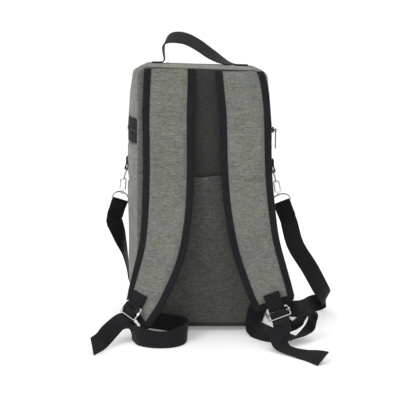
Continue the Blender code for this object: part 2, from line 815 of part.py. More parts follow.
def make_tab(side, place, frames, collection):
    """The tab that holds the buckle: both layers sewn to the strap's face, folded round the top bar."""
    row = BUCKLES[side]
    base = STRAP_THICKNESS / 2 + FIT_GAP + WEB_THICKNESS / 2 + 0.0003
    back = max(0.0, -row.reach)
    bar = place.at(0, HALF_BUCKLE)
    near, far = frame_at(frames, back), frame_at(frames, back + 0.010)
    face, upward = near[2], (far[0] - near[0]).normalized()
    over, under = [], []
    for step in (0.022, 0.013, 0.005):
        centre, across, outward = frame_at(frames, back + step)
        seat = centre + across * row.shift + outward * base
        over.append((*(seat + outward * (LAYER + 0.0007)), *across))
        under.append((*seat, *across))
    turn = [
        (*(bar + BAR_WRAP * (math.sin(a) * upward + math.cos(a) * face)), *place.along)
        for a in (math.radians(15 - 205 * i / 7) for i in range(8))
    ]
    webbing(f"buckle_tab_{side}", over + turn + under[::-1], WEB_WIDTH * 0.86, collection, floor=False)


# The stretches of the strap webbing beyond its buckle, as shares of the bag's half width, half depth
# and height, and the direction across it
LEFT_TAIL = (
    RouteRow(-1.265, -1.65, 0.069, 0.65, -0.56, -0.50),
    RouteRow(-1.370, -1.84, 0.050, 0.58, -0.42, -0.70),
    RouteRow(-1.460, -2.12, 0.037, 0.36, -0.25, -0.90),
    RouteRow(-1.560, -2.40, 0.036, 0.16, -0.10, -0.98),
)
RIGHT_TAIL = (
    RouteRow(1.175, -2.01, 0.038, 0.98, 0.15, 0.00),
    RouteRow(1.205, -2.12, 0.018, 0.92, 0.36, -0.03),
    RouteRow(1.300, -2.23, 0.010, 0.75, 0.65, 0.05),
    RouteRow(1.450, -2.39, 0.010, 0.60, 0.70, 0.15),
    RouteRow(1.600, -2.58, 0.012, 0.50, 0.72, 0.35),
    RouteRow(1.740, -2.84, 0.014, 0.42, 0.70, 0.55),
)
LEFT_LOOP = (
    RouteRow(-0.930, -1.036, 0.050, 0, 0, 1),
    RouteRow(-0.700, -1.046, 0.044, 0, 0, 1),
    RouteRow(-0.420, -1.110, 0.038, 0, 0.05, 1),
    RouteRow(-0.240, -1.220, 0.037, 0.05, 0.05, 1),
    RouteRow(-0.190, -1.430, 0.034, 0.10, 0.25, 0.95),
    RouteRow(-0.250, -1.690, 0.030, 0.05, 0.50, 0.85),
    RouteRow(-0.420, -1.870, 0.026, 0, 0.62, 0.76),
    RouteRow(-0.660, -1.900, 0.026, -0.05, 0.62, 0.76),
    RouteRow(-0.880, -1.800, 0.027, -0.14, 0.56, 0.80),
    RouteRow(-1.010, -1.610, 0.034, -0.40, 0.57, 0.70),
    RouteRow(-1.095, -1.450, 0.048, -0.62, 0.62, 0.42),
)
RIGHT_LOOP = (
    RouteRow(0.930, -1.068, 0.112, 0.9, 0.02, 0.43),
    RouteRow(0.860, -1.083, 0.070, 0.9, -0.02, 0.43),
    RouteRow(0.820, -1.180, 0.036, 0.80, -0.30, 0.50),
    RouteRow(0.870, -1.350, 0.016, 0.66, -0.45, 0.50),
    RouteRow(1.000, -1.620, 0.012, 0.30, -0.26, 0.88),
    RouteRow(1.215, -1.770, 0.016, 0.05, -0.50, 0.80),
    RouteRow(1.450, -1.700, 0.018, 0.25, -0.85, 0.40),
    RouteRow(1.640, -1.500, 0.036, 0.45, -0.88, 0.10),
    RouteRow(1.710, -1.470, 0.066, 0.35, -0.92, 0.10),
    RouteRow(1.680, -1.520, 0.098, 0.20, -0.85, 0.50),
)
# Close to a buckle, in half lengths of it: along, up and out, and the direction across in the same
BuckleStep = namedtuple("BuckleStep", "along up out across_along across_up across_out")
LEFT_DROP = (BuckleStep(-0.10, -1.85, 0.30, 1, 0, 0),)
RIGHT_LEAD = (
    BuckleStep(3.30, -1.85, -0.95, 0.15, -0.25, 0.96),
    BuckleStep(1.90, -1.95, -1.70, 0.40, -0.10, 0.90),
    BuckleStep(0.75, -2.05, -1.70, 0.88, 0, 0.45),
)
RIGHT_DROP = (
    BuckleStep(-0.10, -2.20, 0.25, 1, 0, 0),
    BuckleStep(-0.30, -3.10, 0.00, 1, 0, 0),
)
LOOP_SIGN = {"left": -1, "right": 1}
BUCKLE_ROUTES = {
    "left": (LEFT_LOOP, (), LEFT_DROP, LEFT_TAIL),
    "right": (RIGHT_LOOP, RIGHT_LEAD, RIGHT_DROP, RIGHT_TAIL),
}


def routed(rows, sign=1):
    """A route's rows as places and across directions."""
    return [
        (row.x * HALF_WIDTH, row.y * HALF_DEPTH, row.z * BAG_HEIGHT, row.ax * sign, row.ay * sign, row.az * sign)
        for row in rows
    ]


def make_adjuster(side, place, collection):
    """The webbing from the bag's foot, up behind the buckle, over its bar and down to a free end."""
    loop, lead, drop, tail = BUCKLE_ROUTES[side]
    a = tuple(place.along)

    def near(rows):
        made = []
        for row in rows:
            across = (
                place.along * row.across_along + place.up * row.across_up + place.out * row.across_out
            ).normalized()
            spot = place.at(row.along * HALF_BUCKLE, row.up * HALF_BUCKLE, row.out * HALF_BUCKLE)
            made.append((*spot, *across))
        return made

    behind = WIRE_RADIUS + FIT_GAP + WEB_THICKNESS / 2
    over = [
        (*place.at(0, -HALF_BUCKLE - 0.004, -behind - LAYER - 0.0030), *a),
        (*place.at(0, -HALF_BUCKLE + 0.001, -behind - LAYER - 0.0014), *a),
        (*place.at(0, -HALF_BUCKLE * 0.4, -behind - 0.0012), *a),
    ]
    for i in range(7):
        angle = math.radians(-95 + 190 * i / 6)
        over.append((*place.at(0, SLIDE_UP + BAR_WRAP * math.cos(angle), BAR_WRAP * math.sin(angle)), *a))
    over += [
        (*place.at(0, -HALF_BUCKLE * 0.45, 0.0008), *a),
        (*place.at(0, -HALF_BUCKLE + 0.0015, -behind + 0.0003), *a),
        (*place.at(0, -HALF_BUCKLE - 0.0025, -behind + 0.0002), *a),
    ]
    before = smooth_chain(routed(loop, LOOP_SIGN[side]) + near(lead) + over[:2], 3)
    after = smooth_chain(over[-2:] + near(drop) + routed(tail), 3)
    webbing(f"adjuster_web_{side}", before[:-1] + over[1:-2] + after, WEB_WIDTH * 0.93, collection)


# The carrying strap and its hooks

def side_surface(way, z, share=0.5):
    return Vector(gusset_point(way * HALF_WIDTH, z, (way, 0), share))


# Each side's hardware: how far its ring hangs outward, its hook's lean as a slope, and the turn about
# the upright and the roll in degrees of the carrying strap's loop
SideRow = namedtuple("SideRow", "way ring_out hook_lean yaw roll")
SIDES = {
    "left": SideRow(-1, 0.0066, 0.09, -38, 20),
    "right": SideRow(1, 0.0062, 0.18, -22, 24),
}


def side_layout(side):
    """The places of one side's ring bar, ring foot, hook eye and carrying loop."""
    row = SIDES[side]
    surface = side_surface(row.way, SIDE_TAB_HEIGHT)
    bar = surface + Vector((row.way * (FIT_GAP + WEB_THICKNESS / 2 + BAR_WRAP), 0, 0))
    ring = Frame(bar, (0, 1, 0), (row.way * row.ring_out, 0, -RING_DROP))
    foot = ring.at(0, RING_DROP)
    lean = Vector((-row.way * row.hook_lean, 0, 1)).normalized()
    top = foot + lean * (WIRE_RADIUS + FIT_GAP + HOOK_ROD)
    eye = top - lean * HOOK_HEIGHT
    hook = Frame(eye, (row.way * lean.z, 0, -row.way * lean.x), lean)
    yaw, roll = math.radians(row.yaw), math.radians(row.roll)
    along = Vector((row.way * math.cos(yaw) * math.cos(roll), math.sin(yaw) * math.cos(roll), math.sin(roll)))
    dee = Frame(eye, along, (0, 0, 1))
    dee.origin = dee.at(0, -DEE_DROP - EYE_HANG)
    return ring, foot, hook, dee


EYE_RADIUS = 0.0031
EYE_WIRE = 0.0011
EYE_HANG = EYE_RADIUS - EYE_WIRE - WIRE_RADIUS - FIT_GAP
DEE_HALF = WEB_WIDTH / 2 + WIRE_RADIUS + 0.0008


def make_side_tab(side, ring, collection):
    """A folded tab of webbing sewn to the bag's side, with the ring's bar in its fold."""
    way = SIDES[side].way
    bar = ring.origin
    chain = []
    for rise in (0.019, 0.010):
        at = side_surface(way, bar.z + rise)
        chain.append((at.x + way * (FIT_GAP + WEB_THICKNESS / 2 + LAYER + 0.0004), 0, bar.z + rise, 0, 1, 0))
    for i in range(8):
        angle = math.radians(10 - 200 * i / 7)
        chain.append(
            (bar.x + way * BAR_WRAP * math.cos(angle), 0, bar.z + BAR_WRAP * math.sin(angle), 0, 1, 0)
        )
    for rise in (0.010, 0.019):
        at = side_surface(way, bar.z + rise)
        chain.append((at.x + way * (FIT_GAP + WEB_THICKNESS / 2 + 0.0002), 0, bar.z + rise, 0, 1, 0))
    webbing(f"side_tab_{side}", chain, TAB_WIDTH, collection, floor=False)


def make_hook(side, hook, dee, collection):
    """The snap hook in one piece with its eye, and the lever that closes it."""
    half = HOOK_HALF_WIDTH
    plate_low = EYE_RADIUS
    rod_foot = plate_low + 0.0012
    arc_u = HOOK_HEIGHT - half
    rod = [(-half, rod_foot), (-half, arc_u)]
    rod += arc_points((0, arc_u), half, 180, 0, 8)[1:]
    rod += [(half, arc_u - 0.0022)]
    body = wire(f"snap_hook_{side}", [hook.at(a, u) for a, u in rod], HOOK_ROD, False, nickel(), collection)
    plate = loft_mesh([
        [tuple(hook.at(a, u, n)) for a, u in ((-half - 0.0014, plate_low), (half + 0.0019, plate_low),
                                               (half + 0.0019, plate_low + 0.0022),
                                               (-half - 0.0014, plate_low + 0.0022))]
        for n in (-0.0027, 0.0027)
    ])
    parts = [add_object("plate", plate, nickel(), collection)]
    pin_u = plate_low + 0.0022 + 0.0019
    for way in (-1, 1):
        inner, outer = 0.0018 * way, 0.0027 * way
        ear = loft_mesh([
            [tuple(hook.at(a, u, n)) for a, u in ((half - 0.0015, plate_low + 0.001),
                                                   (half + 0.0015, plate_low + 0.001),
                                                   (half + 0.0015, pin_u + 0.0010),
                                                   (half - 0.0015, pin_u + 0.0010))]
            for n in (inner, outer)
        ])
        parts.append(add_object("ear", ear, nickel(), collection))
    parts.append(
        cylinder("pin", hook.at(half, pin_u, -0.0023), hook.at(half, pin_u, 0.0023), PIN_RADIUS, nickel(),
                 collection, 10)
    )
    turns = [2 * math.pi * i / 16 for i in range(16)]
    ring = [
        hook.origin + EYE_RADIUS * (math.cos(a) * dee.up + math.sin(a) * dee.out) for a in turns
    ]
    parts.append(wire("eye", ring, EYE_WIRE, True, nickel(), collection))
    combine(body, parts, "UNION")
    tip_u = arc_u - 0.0022 - FIT_GAP
    gate = cylinder(f"hook_gate_{side}", hook.at(half, pin_u + 0.0004), hook.at(half, tip_u), GATE_RADIUS,
                    nickel(), collection, 12)
    eye = cylinder("gate_eye", hook.at(half, pin_u, -0.0015), hook.at(half, pin_u, 0.0015), 0.0016, nickel(),
                   collection, 14)
    bore = cylinder("gate_bore", hook.at(half, pin_u, -0.003), hook.at(half, pin_u, 0.003),
                    PIN_RADIUS + FIT_GAP, nickel(), collection, 14)
    hang_at(combine(combine(gate, [eye], "UNION"), [bore], "DIFFERENCE"), hook.at(half, pin_u))


CARRY_ROUTE = (
    RouteRow(1.570, 0.05, 0.290, 0.90, -0.05, 0.42),
    RouteRow(1.810, 0.10, 0.195, 0.88, 0.05, 0.45),
    RouteRow(2.000, 0.16, 0.110, 0.80, 0.20, 0.52),
    RouteRow(2.110, 0.26, 0.060, 0.55, 0.45, 0.68),
    RouteRow(2.080, 0.42, 0.034, 0.20, 0.35, 0.90),
    RouteRow(1.900, 0.30, 0.030, -0.05, 0.55, 0.82),
    RouteRow(1.740, 0.00, 0.032, -0.10, 0.40, 0.90),
    RouteRow(1.560, -0.16, 0.038, 0, 0, 1),
    RouteRow(1.390, -0.04, 0.038, 0, 0, 1),
    RouteRow(1.330, 0.35, 0.038, 0, 0, 1),
    RouteRow(1.330, 0.90, 0.038, 0, 0, 1),
    RouteRow(1.190, 1.32, 0.038, 0, 0, 1),
    RouteRow(0.700, 1.45, 0.038, 0, 0, 1),
    RouteRow(0.000, 1.47, 0.038, 0, 0, 1),
    RouteRow(-0.660, 1.45, 0.040, 0, 0, 1),
    RouteRow(-1.060, 1.32, 0.060, -0.05, 0.10, 0.95),
    RouteRow(-1.215, 1.00, 0.115, -0.05, 0.45, 0.85),
    RouteRow(-1.240, 0.72, 0.185, 0.02, 0.80, 0.55),
    RouteRow(-1.265, 0.40, 0.260, 0.20, 0.92, 0.20),
    RouteRow(-1.320, 0.14, 0.325, 0.50, 0.80, -0.15),
)


def loop_end(dee, way):
    """The carrying strap's end: sewn back on itself after it has gone round the loop's bar."""
    a = tuple(dee.along * way)
    tail = [(*dee.at(0, -down, BAR_WRAP - LAYER - 0.0012), *a) for down in (0.026, 0.014)]
    turn = [
        (*dee.at(0, BAR_WRAP * math.cos(t), BAR_WRAP * math.sin(t)), *a)
        for t in (math.radians(-75 + 165 * i / 6) for i in range(7))
    ]
    body = [(*dee.at(0, -down, BAR_WRAP + 0.0004), *a) for down in (0.014, 0.032)]
    return tail + turn + body


def make_carrying_strap(left, right, collection):
    """The carrying strap, from one loop's bar round the bag to the other's."""
    start = loop_end(right, 1)
    finish = loop_end(left, -1)[::-1]
    middle = smooth_chain([start[-1]] + routed(CARRY_ROUTE) + [finish[0]], 3)
    webbing("carrying_strap", start[:-1] + middle + finish[1:], WEB_WIDTH * 0.97, collection)


def make_carrying_hardware(collection):
    dees = {}
    for side in SIDES:
        ring, _, hook, dee = side_layout(side)
        half = TAB_WIDTH / 2 + WIRE_RADIUS + 0.001
        loop = [ring.at(a, u) for a, u in dee_loop(half, RING_DROP)]
        wire(f"side_ring_{side}", loop, WIRE_RADIUS, True, nickel(), collection)
        make_side_tab(side, ring, collection)
        make_hook(side, hook, dee, collection)
        loop = [dee.at(a, u) for a, u in dee_loop(DEE_HALF, DEE_DROP)]
        wire(f"strap_loop_{side}", loop, WIRE_RADIUS, True, nickel(), collection)
        dees[side] = dee
    make_carrying_strap(dees["left"], dees["right"], collection)


def shade_round(collection):
    """Smooth shading on every piece, except over its sharp edges."""
    for piece in collection.objects:
        piece.data.shade_smooth()
        piece.data.set_sharp_from_angle(angle=math.radians(35))


def build():
    """Clears the scene and builds every piece in its own collection."""
    for old in list(bpy.data.objects):
        bpy.data.objects.remove(old)
    collection = bpy.data.collections.new("backpack")
    bpy.context.scene.collection.children.link(collection)
    make_panels(collection)
    make_gussets(collection)
    make_zip(collection)
    make_zip_pull(collection)
    make_handle(collection)
    for side, rows in (("left", LEFT_STRAP), ("right", RIGHT_STRAP)):
        frames = strap_frames(rows)
        make_pad(f"shoulder_strap_{side}", frames, collection)
        make_binding(f"strap_binding_{side}", frames, collection)
        place = buckle_place(side, frames)
        make_buckle(side, place, collection)
        make_tab(side, place, frames, collection)
        make_adjuster(side, place, collection)
    make_carrying_hardware(collection)
    shade_round(collection)


build()
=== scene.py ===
"""A grey padded backpack seen from its strap side, dressed in fine cloth, tape and webbing.

Every soft piece follows the same forms as the bag's solids, with finer steps. Lengths are in metres,
and the shoulder straps face -Y.
"""
import math
from collections import namedtuple

import bmesh
import bpy
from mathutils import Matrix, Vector, noise


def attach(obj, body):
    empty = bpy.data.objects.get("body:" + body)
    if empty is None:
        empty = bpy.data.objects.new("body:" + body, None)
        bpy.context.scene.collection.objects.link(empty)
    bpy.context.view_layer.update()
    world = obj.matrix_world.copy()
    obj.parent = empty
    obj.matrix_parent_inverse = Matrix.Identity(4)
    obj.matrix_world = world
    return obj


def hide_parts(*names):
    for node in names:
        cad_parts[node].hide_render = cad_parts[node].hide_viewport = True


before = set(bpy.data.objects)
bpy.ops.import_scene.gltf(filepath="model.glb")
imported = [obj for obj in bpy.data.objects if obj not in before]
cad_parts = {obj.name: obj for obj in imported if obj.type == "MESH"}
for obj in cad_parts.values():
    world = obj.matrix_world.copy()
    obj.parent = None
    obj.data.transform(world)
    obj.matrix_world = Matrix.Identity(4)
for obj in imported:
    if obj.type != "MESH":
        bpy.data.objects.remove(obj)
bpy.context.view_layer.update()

# Camera, light and floor
# A longish lens looks a little down on the bag's back from some 1.6 m away. A large soft light
# stands to the left, a weak one to the right, and the floor and backdrop are nearly white.
PHOTO_WIDTH = 400
FOCAL_PIXELS = 958
SENSOR_WIDTH = 36.0
CAMERA_PLACE = (0.0, -1.5875, 0.48)
CAMERA_PITCH = 9.95
FLOOR_HALF = 4.0
BACKDROP_RADIUS = 0.8
PAPER_WHITE = (0.93, 0.93, 0.93)
PAPER_GLOW = 0.17


class Value:
    """A socket of a material's nodes, on which plain arithmetic adds Math nodes."""

    def __init__(self, finish, socket):
        self.finish = finish
        self.socket = socket

    def math(self, operation, *numbers):
        sockets = dict(enumerate(numbers))
        return self.finish.node("ShaderNodeMath", {"operation": operation}, sockets)

    def __add__(self, other):
        return self.math("ADD", self, other)

    __radd__ = __add__

    def __sub__(self, other):
        return self.math("SUBTRACT", self, other)

    def __rsub__(self, other):
        return self.math("SUBTRACT", other, self)

    def __mul__(self, other):
        return self.math("MULTIPLY", self, other)

    __rmul__ = __mul__

    def __truediv__(self, other):
        return self.math("DIVIDE", self, other)

    def __abs__(self):
        return self.math("ABSOLUTE", self)

    def sine(self):
        return self.math("SINE", self)

    def fract(self):
        return self.math("FRACT", self)

    def power(self, exponent):
        return self.math("POWER", self, exponent)


class Finish:
    """A material with one Principled shader, whose sockets take numbers, colours or node values."""

    def __init__(self, name, roughness, metallic=0.0):
        self.material = bpy.data.materials.new(name)
        self.material.use_nodes = True
        self.tree = self.material.node_tree
        self.shader = self.tree.nodes["Principled BSDF"]
        self.set(self.shader, {"Roughness": roughness, "Metallic": metallic})

    def set(self, node, sockets):
        for key, value in sockets.items():
            socket = node.inputs[key]
            if isinstance(value, Value):
                self.tree.links.new(value.socket, socket)
            elif isinstance(value, tuple) and len(value) == 3 and socket.type == "RGBA":
                socket.default_value = (*value, 1.0)
            else:
                socket.default_value = value

    def node(self, kind, settings=None, sockets=None, output=0):
        made = self.tree.nodes.new(kind)
        for key, value in (settings or {}).items():
            setattr(made, key, value)
        self.set(made, sockets or {})
        return Value(self, made.outputs[output])

    def place(self, scale):
        """Places on the object, stretched by a scale for each axis."""
        where = self.node("ShaderNodeTexCoord", output=3)
        return self.node("ShaderNodeMapping", None, {0: where, 3: scale})

    def noise(self, scale, detail=3.0, roughness=0.55):
        """Soft noise from 0 to 1 on stretched places."""
        return self.node(
            "ShaderNodeTexNoise", None,
            {"Vector": self.place(scale), "Scale": 1.0, "Detail": detail, "Roughness": roughness},
        )

    def span(self, value, low, high, to_low=0.0, to_high=1.0):
        """A value's range moved to another, with smooth ends."""
        return self.node(
            "ShaderNodeMapRange", {"interpolation_type": "SMOOTHSTEP"},
            {0: value, 1: low, 2: high, 3: to_low, 4: to_high},
        )

    def mix(self, share, first, second):
        """Two colours mixed."""
        return self.node(
            "ShaderNodeMix", {"data_type": "RGBA"}, {0: share, 6: first, 7: second}, output=2
        )

    def bump(self, height, depth, strength=1.0):
        self.set(self.shader, {"Normal": self.node(
            "ShaderNodeBump", None, {"Height": height, "Distance": depth, "Strength": strength}
        )})


def mesh_of(vertices, faces):
    mesh = bpy.data.meshes.new("shape")
    mesh.from_pydata([tuple(v) for v in vertices], [], faces)
    return mesh


def add_piece(name, mesh, finish, smooth=True):
    """Puts a mesh in the scene as one piece with one finish."""
    piece = bpy.data.objects.new(name, mesh)
    mesh.materials.clear()
    mesh.materials.append(finish.material)
    if smooth:
        mesh.shade_smooth()
    bpy.context.scene.collection.objects.link(piece)
    return piece


def make_backdrop():
    """Floor that curves up into the backdrop, as one sheet of paper."""
    finish = Finish("studio paper", 0.9)
    grain = finish.noise((3.0, 3.0, 3.0), 2.0)
    finish.set(finish.shader, {
        "Base Color": finish.mix(grain, PAPER_WHITE, (0.95, 0.95, 0.95)),
        "Emission Color": (1.0, 1.0, 1.0),
        "Emission Strength": PAPER_GLOW,
    })
    profile = [(-FLOOR_HALF, 0.0), (FLOOR_HALF - BACKDROP_RADIUS, 0.0)]
    for i in range(1, 13):
        turn = math.pi / 2 * i / 12
        profile.append((FLOOR_HALF - BACKDROP_RADIUS + BACKDROP_RADIUS * math.sin(turn),
                        BACKDROP_RADIUS * (1 - math.cos(turn))))
    profile.append((FLOOR_HALF, FLOOR_HALF))
    vertices = [(x, y, z) for y, z in profile for x in (-FLOOR_HALF, FLOOR_HALF)]
    faces = [(2 * i, 2 * i + 1, 2 * i + 3, 2 * i + 2) for i in range(len(profile) - 1)]
    add_piece("studio_floor", mesh_of(vertices, faces), finish)


def add_light(name, place, target, size, power):
    """A square soft light aimed at a point."""
    data = bpy.data.lights.new(name, "AREA")
    data.shape = "SQUARE"
    data.size = size
    data.energy = power
    light = bpy.data.objects.new(name, data)
    light.location = place
    light.rotation_euler = (Vector(target) - Vector(place)).to_track_quat("-Z", "Y").to_euler()
    bpy.context.scene.collection.objects.link(light)


def set_scene():
    data = bpy.data.cameras.new("camera")
    data.sensor_width = SENSOR_WIDTH
    data.lens = SENSOR_WIDTH * FOCAL_PIXELS / PHOTO_WIDTH
    camera = bpy.data.objects.new("camera", data)
    camera.location = CAMERA_PLACE
    camera.rotation_euler = (math.radians(90 - CAMERA_PITCH), 0, 0)
    bpy.context.scene.collection.objects.link(camera)
    bpy.context.scene.camera = camera
    world = bpy.data.worlds.new("studio")
    world.use_nodes = True
    world.node_tree.nodes["Background"].inputs["Color"].default_value = (1.0, 1.0, 1.0, 1)
    world.node_tree.nodes["Background"].inputs["Strength"].default_value = WORLD_STRENGTH
    bpy.context.scene.world = world
    bpy.context.scene.view_settings.view_transform = "Standard"
    for row in LIGHTS:
        add_light(*row)


WORLD_STRENGTH = 0.78
LightRow = namedtuple("LightRow", "name place target size power")
LIGHTS = (
    LightRow("key", (-1.5, -1.5, 1.5), (0, 0, 0.2), 1.3, 20),
    LightRow("fill", (1.6, -1.2, 1.0), (0, 0, 0.2), 1.5, 5),
    LightRow("top", (0.1, 0.3, 2.2), (0, 0, 0.3), 1.6, 10),
)

make_backdrop()
set_scene()

# The bag's padded walls
# A back panel, two front panels and a bowed gusset in two parts, of foam between grey heather cloth.
# They are sewn edge to edge, so each rolls in at its seams and puckers a little beside them.
BAG_HEIGHT = 0.424
BAG_WIDTH = 0.207
BAG_DEPTH = 0.175
WALL = 0.005
SIDE_BOW = 0.0205
TOP_BOW = 0.005
FOOT_LIFT = 0.0087
FRONT_BOW = 0.009
TOP_CORNER = 0.015
FOOT_CORNER = 0.014
EDGE_INSET = 0.0012
SEAM_GAP = 0.0003
SLUMP = 0.0075
ZIP_FOOT = 0.305
TAPE_HEIGHT = 0.0148
COIL_HEIGHT = 0.006
HALF_WIDTH = BAG_WIDTH / 2
HALF_DEPTH = BAG_DEPTH / 2
ZIP_TOP = ZIP_FOOT + 2 * TAPE_HEIGHT + COIL_HEIGHT + 2 * SEAM_GAP
ROLL = 0.003
CLOTH_SHADE = (0.165, 0.168, 0.148)
DARK_THREAD = 0.42
PALE_THREAD = 1.68
COOL_TINT = (0.97, 1.0, 1.06)
WARM_TINT = (1.03, 1.0, 0.94)
# Where painted shade darkens the back and pocket between the straps: its middle and its half width
PAINTED_SHADE_MIDDLE = 0.006
PAINTED_SHADE_HALF = 0.070
# Painted shade in the crease along the gusset's seams: its core, its width and how dark it is
CREASE_CORE = 0.0012
CREASE_WIDTH = 0.0042
CREASE_SHADE = 0.22
# Painted shade along the bag's foot: how high it reaches, and how dark it is
FOOT_SHADE_TOP = 0.0145
FOOT_SHADE_LEVEL = 0.35

# How the bag's width narrows and its sides bow, as shares, at shares of its height
WidthRow = namedtuple("WidthRow", "height width bow")
WIDTH_ROWS = (
    WidthRow(0.00, 1.000, 0.40),
    WidthRow(0.08, 0.998, 0.72),
    WidthRow(0.20, 0.992, 0.88),
    WidthRow(0.50, 0.972, 1.00),
    WidthRow(0.78, 0.956, 1.02),
    WidthRow(0.90, 0.950, 0.86),
    WidthRow(1.00, 0.946, 0.55),
)

def interpolate(rows, at, column):
    """A column of a table of rows between the two rows whose first columns hold the value."""
    for low, high in zip(rows, rows[1:]):
        if at <= high[0]:
            break
    share = min(1.0, max(0.0, (at - low[0]) / (high[0] - low[0])))
    return low[column] + (high[column] - low[column]) * share

def settle(x, z):
    """Where a point of the square-cut bag comes to lie: narrower towards the top, lower on the right."""
    width = interpolate(WIDTH_ROWS, z / BAG_HEIGHT, 1)
    return x * width, z * (1 - SLUMP * x / HALF_WIDTH)


def side_bow(z):
    return SIDE_BOW * interpolate(WIDTH_ROWS, z / BAG_HEIGHT, 2)


def bow_profile(share, sharpness):
    """From 0 at both seams to 1 in the middle of a gusset's depth."""
    return 1 - abs(2 * share - 1) ** sharpness


def foot_profile(share):
    """The foot's bow, pressed flat where the bag stands on it."""
    return min(1.0, 1.12 * bow_profile(share, 6))

GUSSET_BACK = -HALF_DEPTH + WALL + SEAM_GAP
GUSSET_FRONT = HALF_DEPTH - WALL - SEAM_GAP


def gusset_point(x, z, outward, share, proud=0.0):
    """A point of the gusset over the seam line's point x, z, at a share of the depth."""
    sideways, upright = outward[0] ** 2, outward[1] ** 2
    ends = TOP_BOW * bow_profile(share, 2.4) if outward[1] > 0 else FOOT_LIFT * foot_profile(share)
    bow = sideways * side_bow(z) * bow_profile(share, 2.4) + upright * ends
    inset = EDGE_INSET * sideways if outward[1] < 0 else EDGE_INSET
    reach = bow - inset + proud
    there = settle(x + outward[0] * reach, z + outward[1] * reach)
    return (there[0], GUSSET_BACK + (GUSSET_FRONT - GUSSET_BACK) * share, there[1])

def seam_path(open_z, closed_z, corner, side_steps=5, corner_steps=4, cross_steps=4):
    """The seam line from one open side end round the closed end to the other, with outward directions."""
    way = 1 if closed_z > open_z else -1
    turn_z = closed_z - way * corner
    inner = HALF_WIDTH - corner
    left = [((-HALF_WIDTH, open_z + (turn_z - open_z) * i / side_steps), (-1, 0)) for i in range(side_steps)]
    quarter = [
        (math.cos(math.radians(a)), math.sin(math.radians(a)))
        for a in (90 - 90 * i / corner_steps for i in range(corner_steps + 1))
    ]
    first = [((-inner - corner * s, turn_z + way * corner * c), (-s, way * c)) for s, c in
             [(q[1], q[0]) for q in quarter]]
    cross = [((-inner + 2 * inner * i / cross_steps, closed_z), (0, way)) for i in range(1, cross_steps)]
    path = left + first + cross
    return path + [((-x, z), (-n, m)) for (x, z), (n, m) in reversed(left + first)]


def front_y(share, z):
    """The front panel's face, crowned between its seams."""
    upright = 2 * z / BAG_HEIGHT - 1
    return HALF_DEPTH + FRONT_BOW * (1 - share**4) * (1 - upright**4)


def corner_drop(share, corner):
    """How far a rounded corner has dropped away at a share of the panel's half width."""
    past = abs(share) * HALF_WIDTH - (HALF_WIDTH - corner)
    return corner - math.sqrt(max(corner**2 - past**2, 0.0)) if past > 0 and corner > 0 else 0.0

CLOTH_ENDS = (0.0, 0.012, 0.035, 0.07)
DEPTH_STEPS = 30


def depth_shares():
    """Shares of the gusset's depth, closer together beside its seams."""
    inner = [0.1 + 0.8 * i / DEPTH_STEPS for i in range(DEPTH_STEPS + 1)]
    return list(CLOTH_ENDS) + inner + [1 - share for share in reversed(CLOTH_ENDS)]


def heather(name, tone_and_light, hollow_shade=1.0, seams=False):
    """Matte woven cloth of dark and light grey threads, with slubs along the weft.

    Painted shade can darken the hollow between the straps against the cloth at the bag's edges,
    and the band at the bag's foot; painted shade can also darken the crease along the gusset's seams.
    """
    finish = Finish(name, 0.92)
    weft = finish.noise((150.0, 150.0, 1150.0), 3.0, 0.6)
    slub = finish.noise((46.0, 46.0, 640.0), 2.0, 0.5)
    warp = finish.noise((1350.0, 1350.0, 150.0), 2.0, 0.5)
    cloud = finish.noise((11.0, 11.0, 11.0), 3.0, 0.5)
    fleck = finish.noise((420.0, 420.0, 1500.0), 1.0, 0.5)
    tint = finish.noise((38.0, 38.0, 90.0), 2.0, 0.5)
    light = finish.span(weft * 0.50 + slub * 0.20 + fleck * 0.30, 0.36, 0.66)
    thread = light * 0.74 + finish.span(warp, 0.35, 0.65) * 0.26
    shade = thread * 0.88 + finish.span(cloud, 0.3, 0.7) * 0.12
    where = finish.node("ShaderNodeTexCoord", output=3)
    parts = finish.tree.nodes.new("ShaderNodeSeparateXYZ")
    finish.set(parts, {0: where})
    x, y, z = (Value(finish, parts.outputs[i]) for i in range(3))
    pitch = 2 * math.pi / 0.0011
    over = ((x + y) * pitch).sine() * ((z * pitch).sine())
    height = over * 0.35 + weft * 0.8 + fleck * 0.4 + warp * 0.4

    def thread_colours(level):
        dark = tuple(c * level * DARK_THREAD for c in CLOTH_SHADE)
        cool = tuple(c * level * PALE_THREAD * w for c, w in zip(CLOTH_SHADE, COOL_TINT))
        warm = tuple(c * level * PALE_THREAD * w for c, w in zip(CLOTH_SHADE, WARM_TINT))
        pale = finish.mix(finish.span(tint, 0.38, 0.62), cool, warm)
        return finish.mix(shade, dark, pale)

    colour = thread_colours(tone_and_light)
    if hollow_shade != 1.0:
        # Painted shade: the cloth between the straps is darker than at the bag's edges
        edge = finish.span(abs(x - PAINTED_SHADE_MIDDLE), PAINTED_SHADE_HALF, HALF_WIDTH)
        colour = finish.mix(edge, thread_colours(tone_and_light * hollow_shade), colour)
        # Painted shade: the lowest band of the back and pocket is darker, as the shadow at the bag's foot
        hem = finish.span(z, FOOT_SHADE_TOP, FOOT_SHADE_TOP + CREASE_CORE)
        colour = finish.mix(hem, thread_colours(tone_and_light * hollow_shade * FOOT_SHADE_LEVEL), colour)
    # Painted shade: the cloth beside the gusset's seams is darker, as the shade in each seam's groove
    if seams:
        away = finish.span(abs(abs(y) - HALF_DEPTH), CREASE_CORE, CREASE_WIDTH)
        colour = finish.mix(away, thread_colours(tone_and_light * CREASE_SHADE), colour)
    finish.set(finish.shader, {
        "Base Color": colour,
        "Roughness": finish.span(thread, 0.0, 1.0, 0.96, 0.84),
        "Sheen Weight": 0.12,
        "Specular IOR Level": 0.25,
    })
    finish.bump(height, 0.0004, 0.8)
    return finish


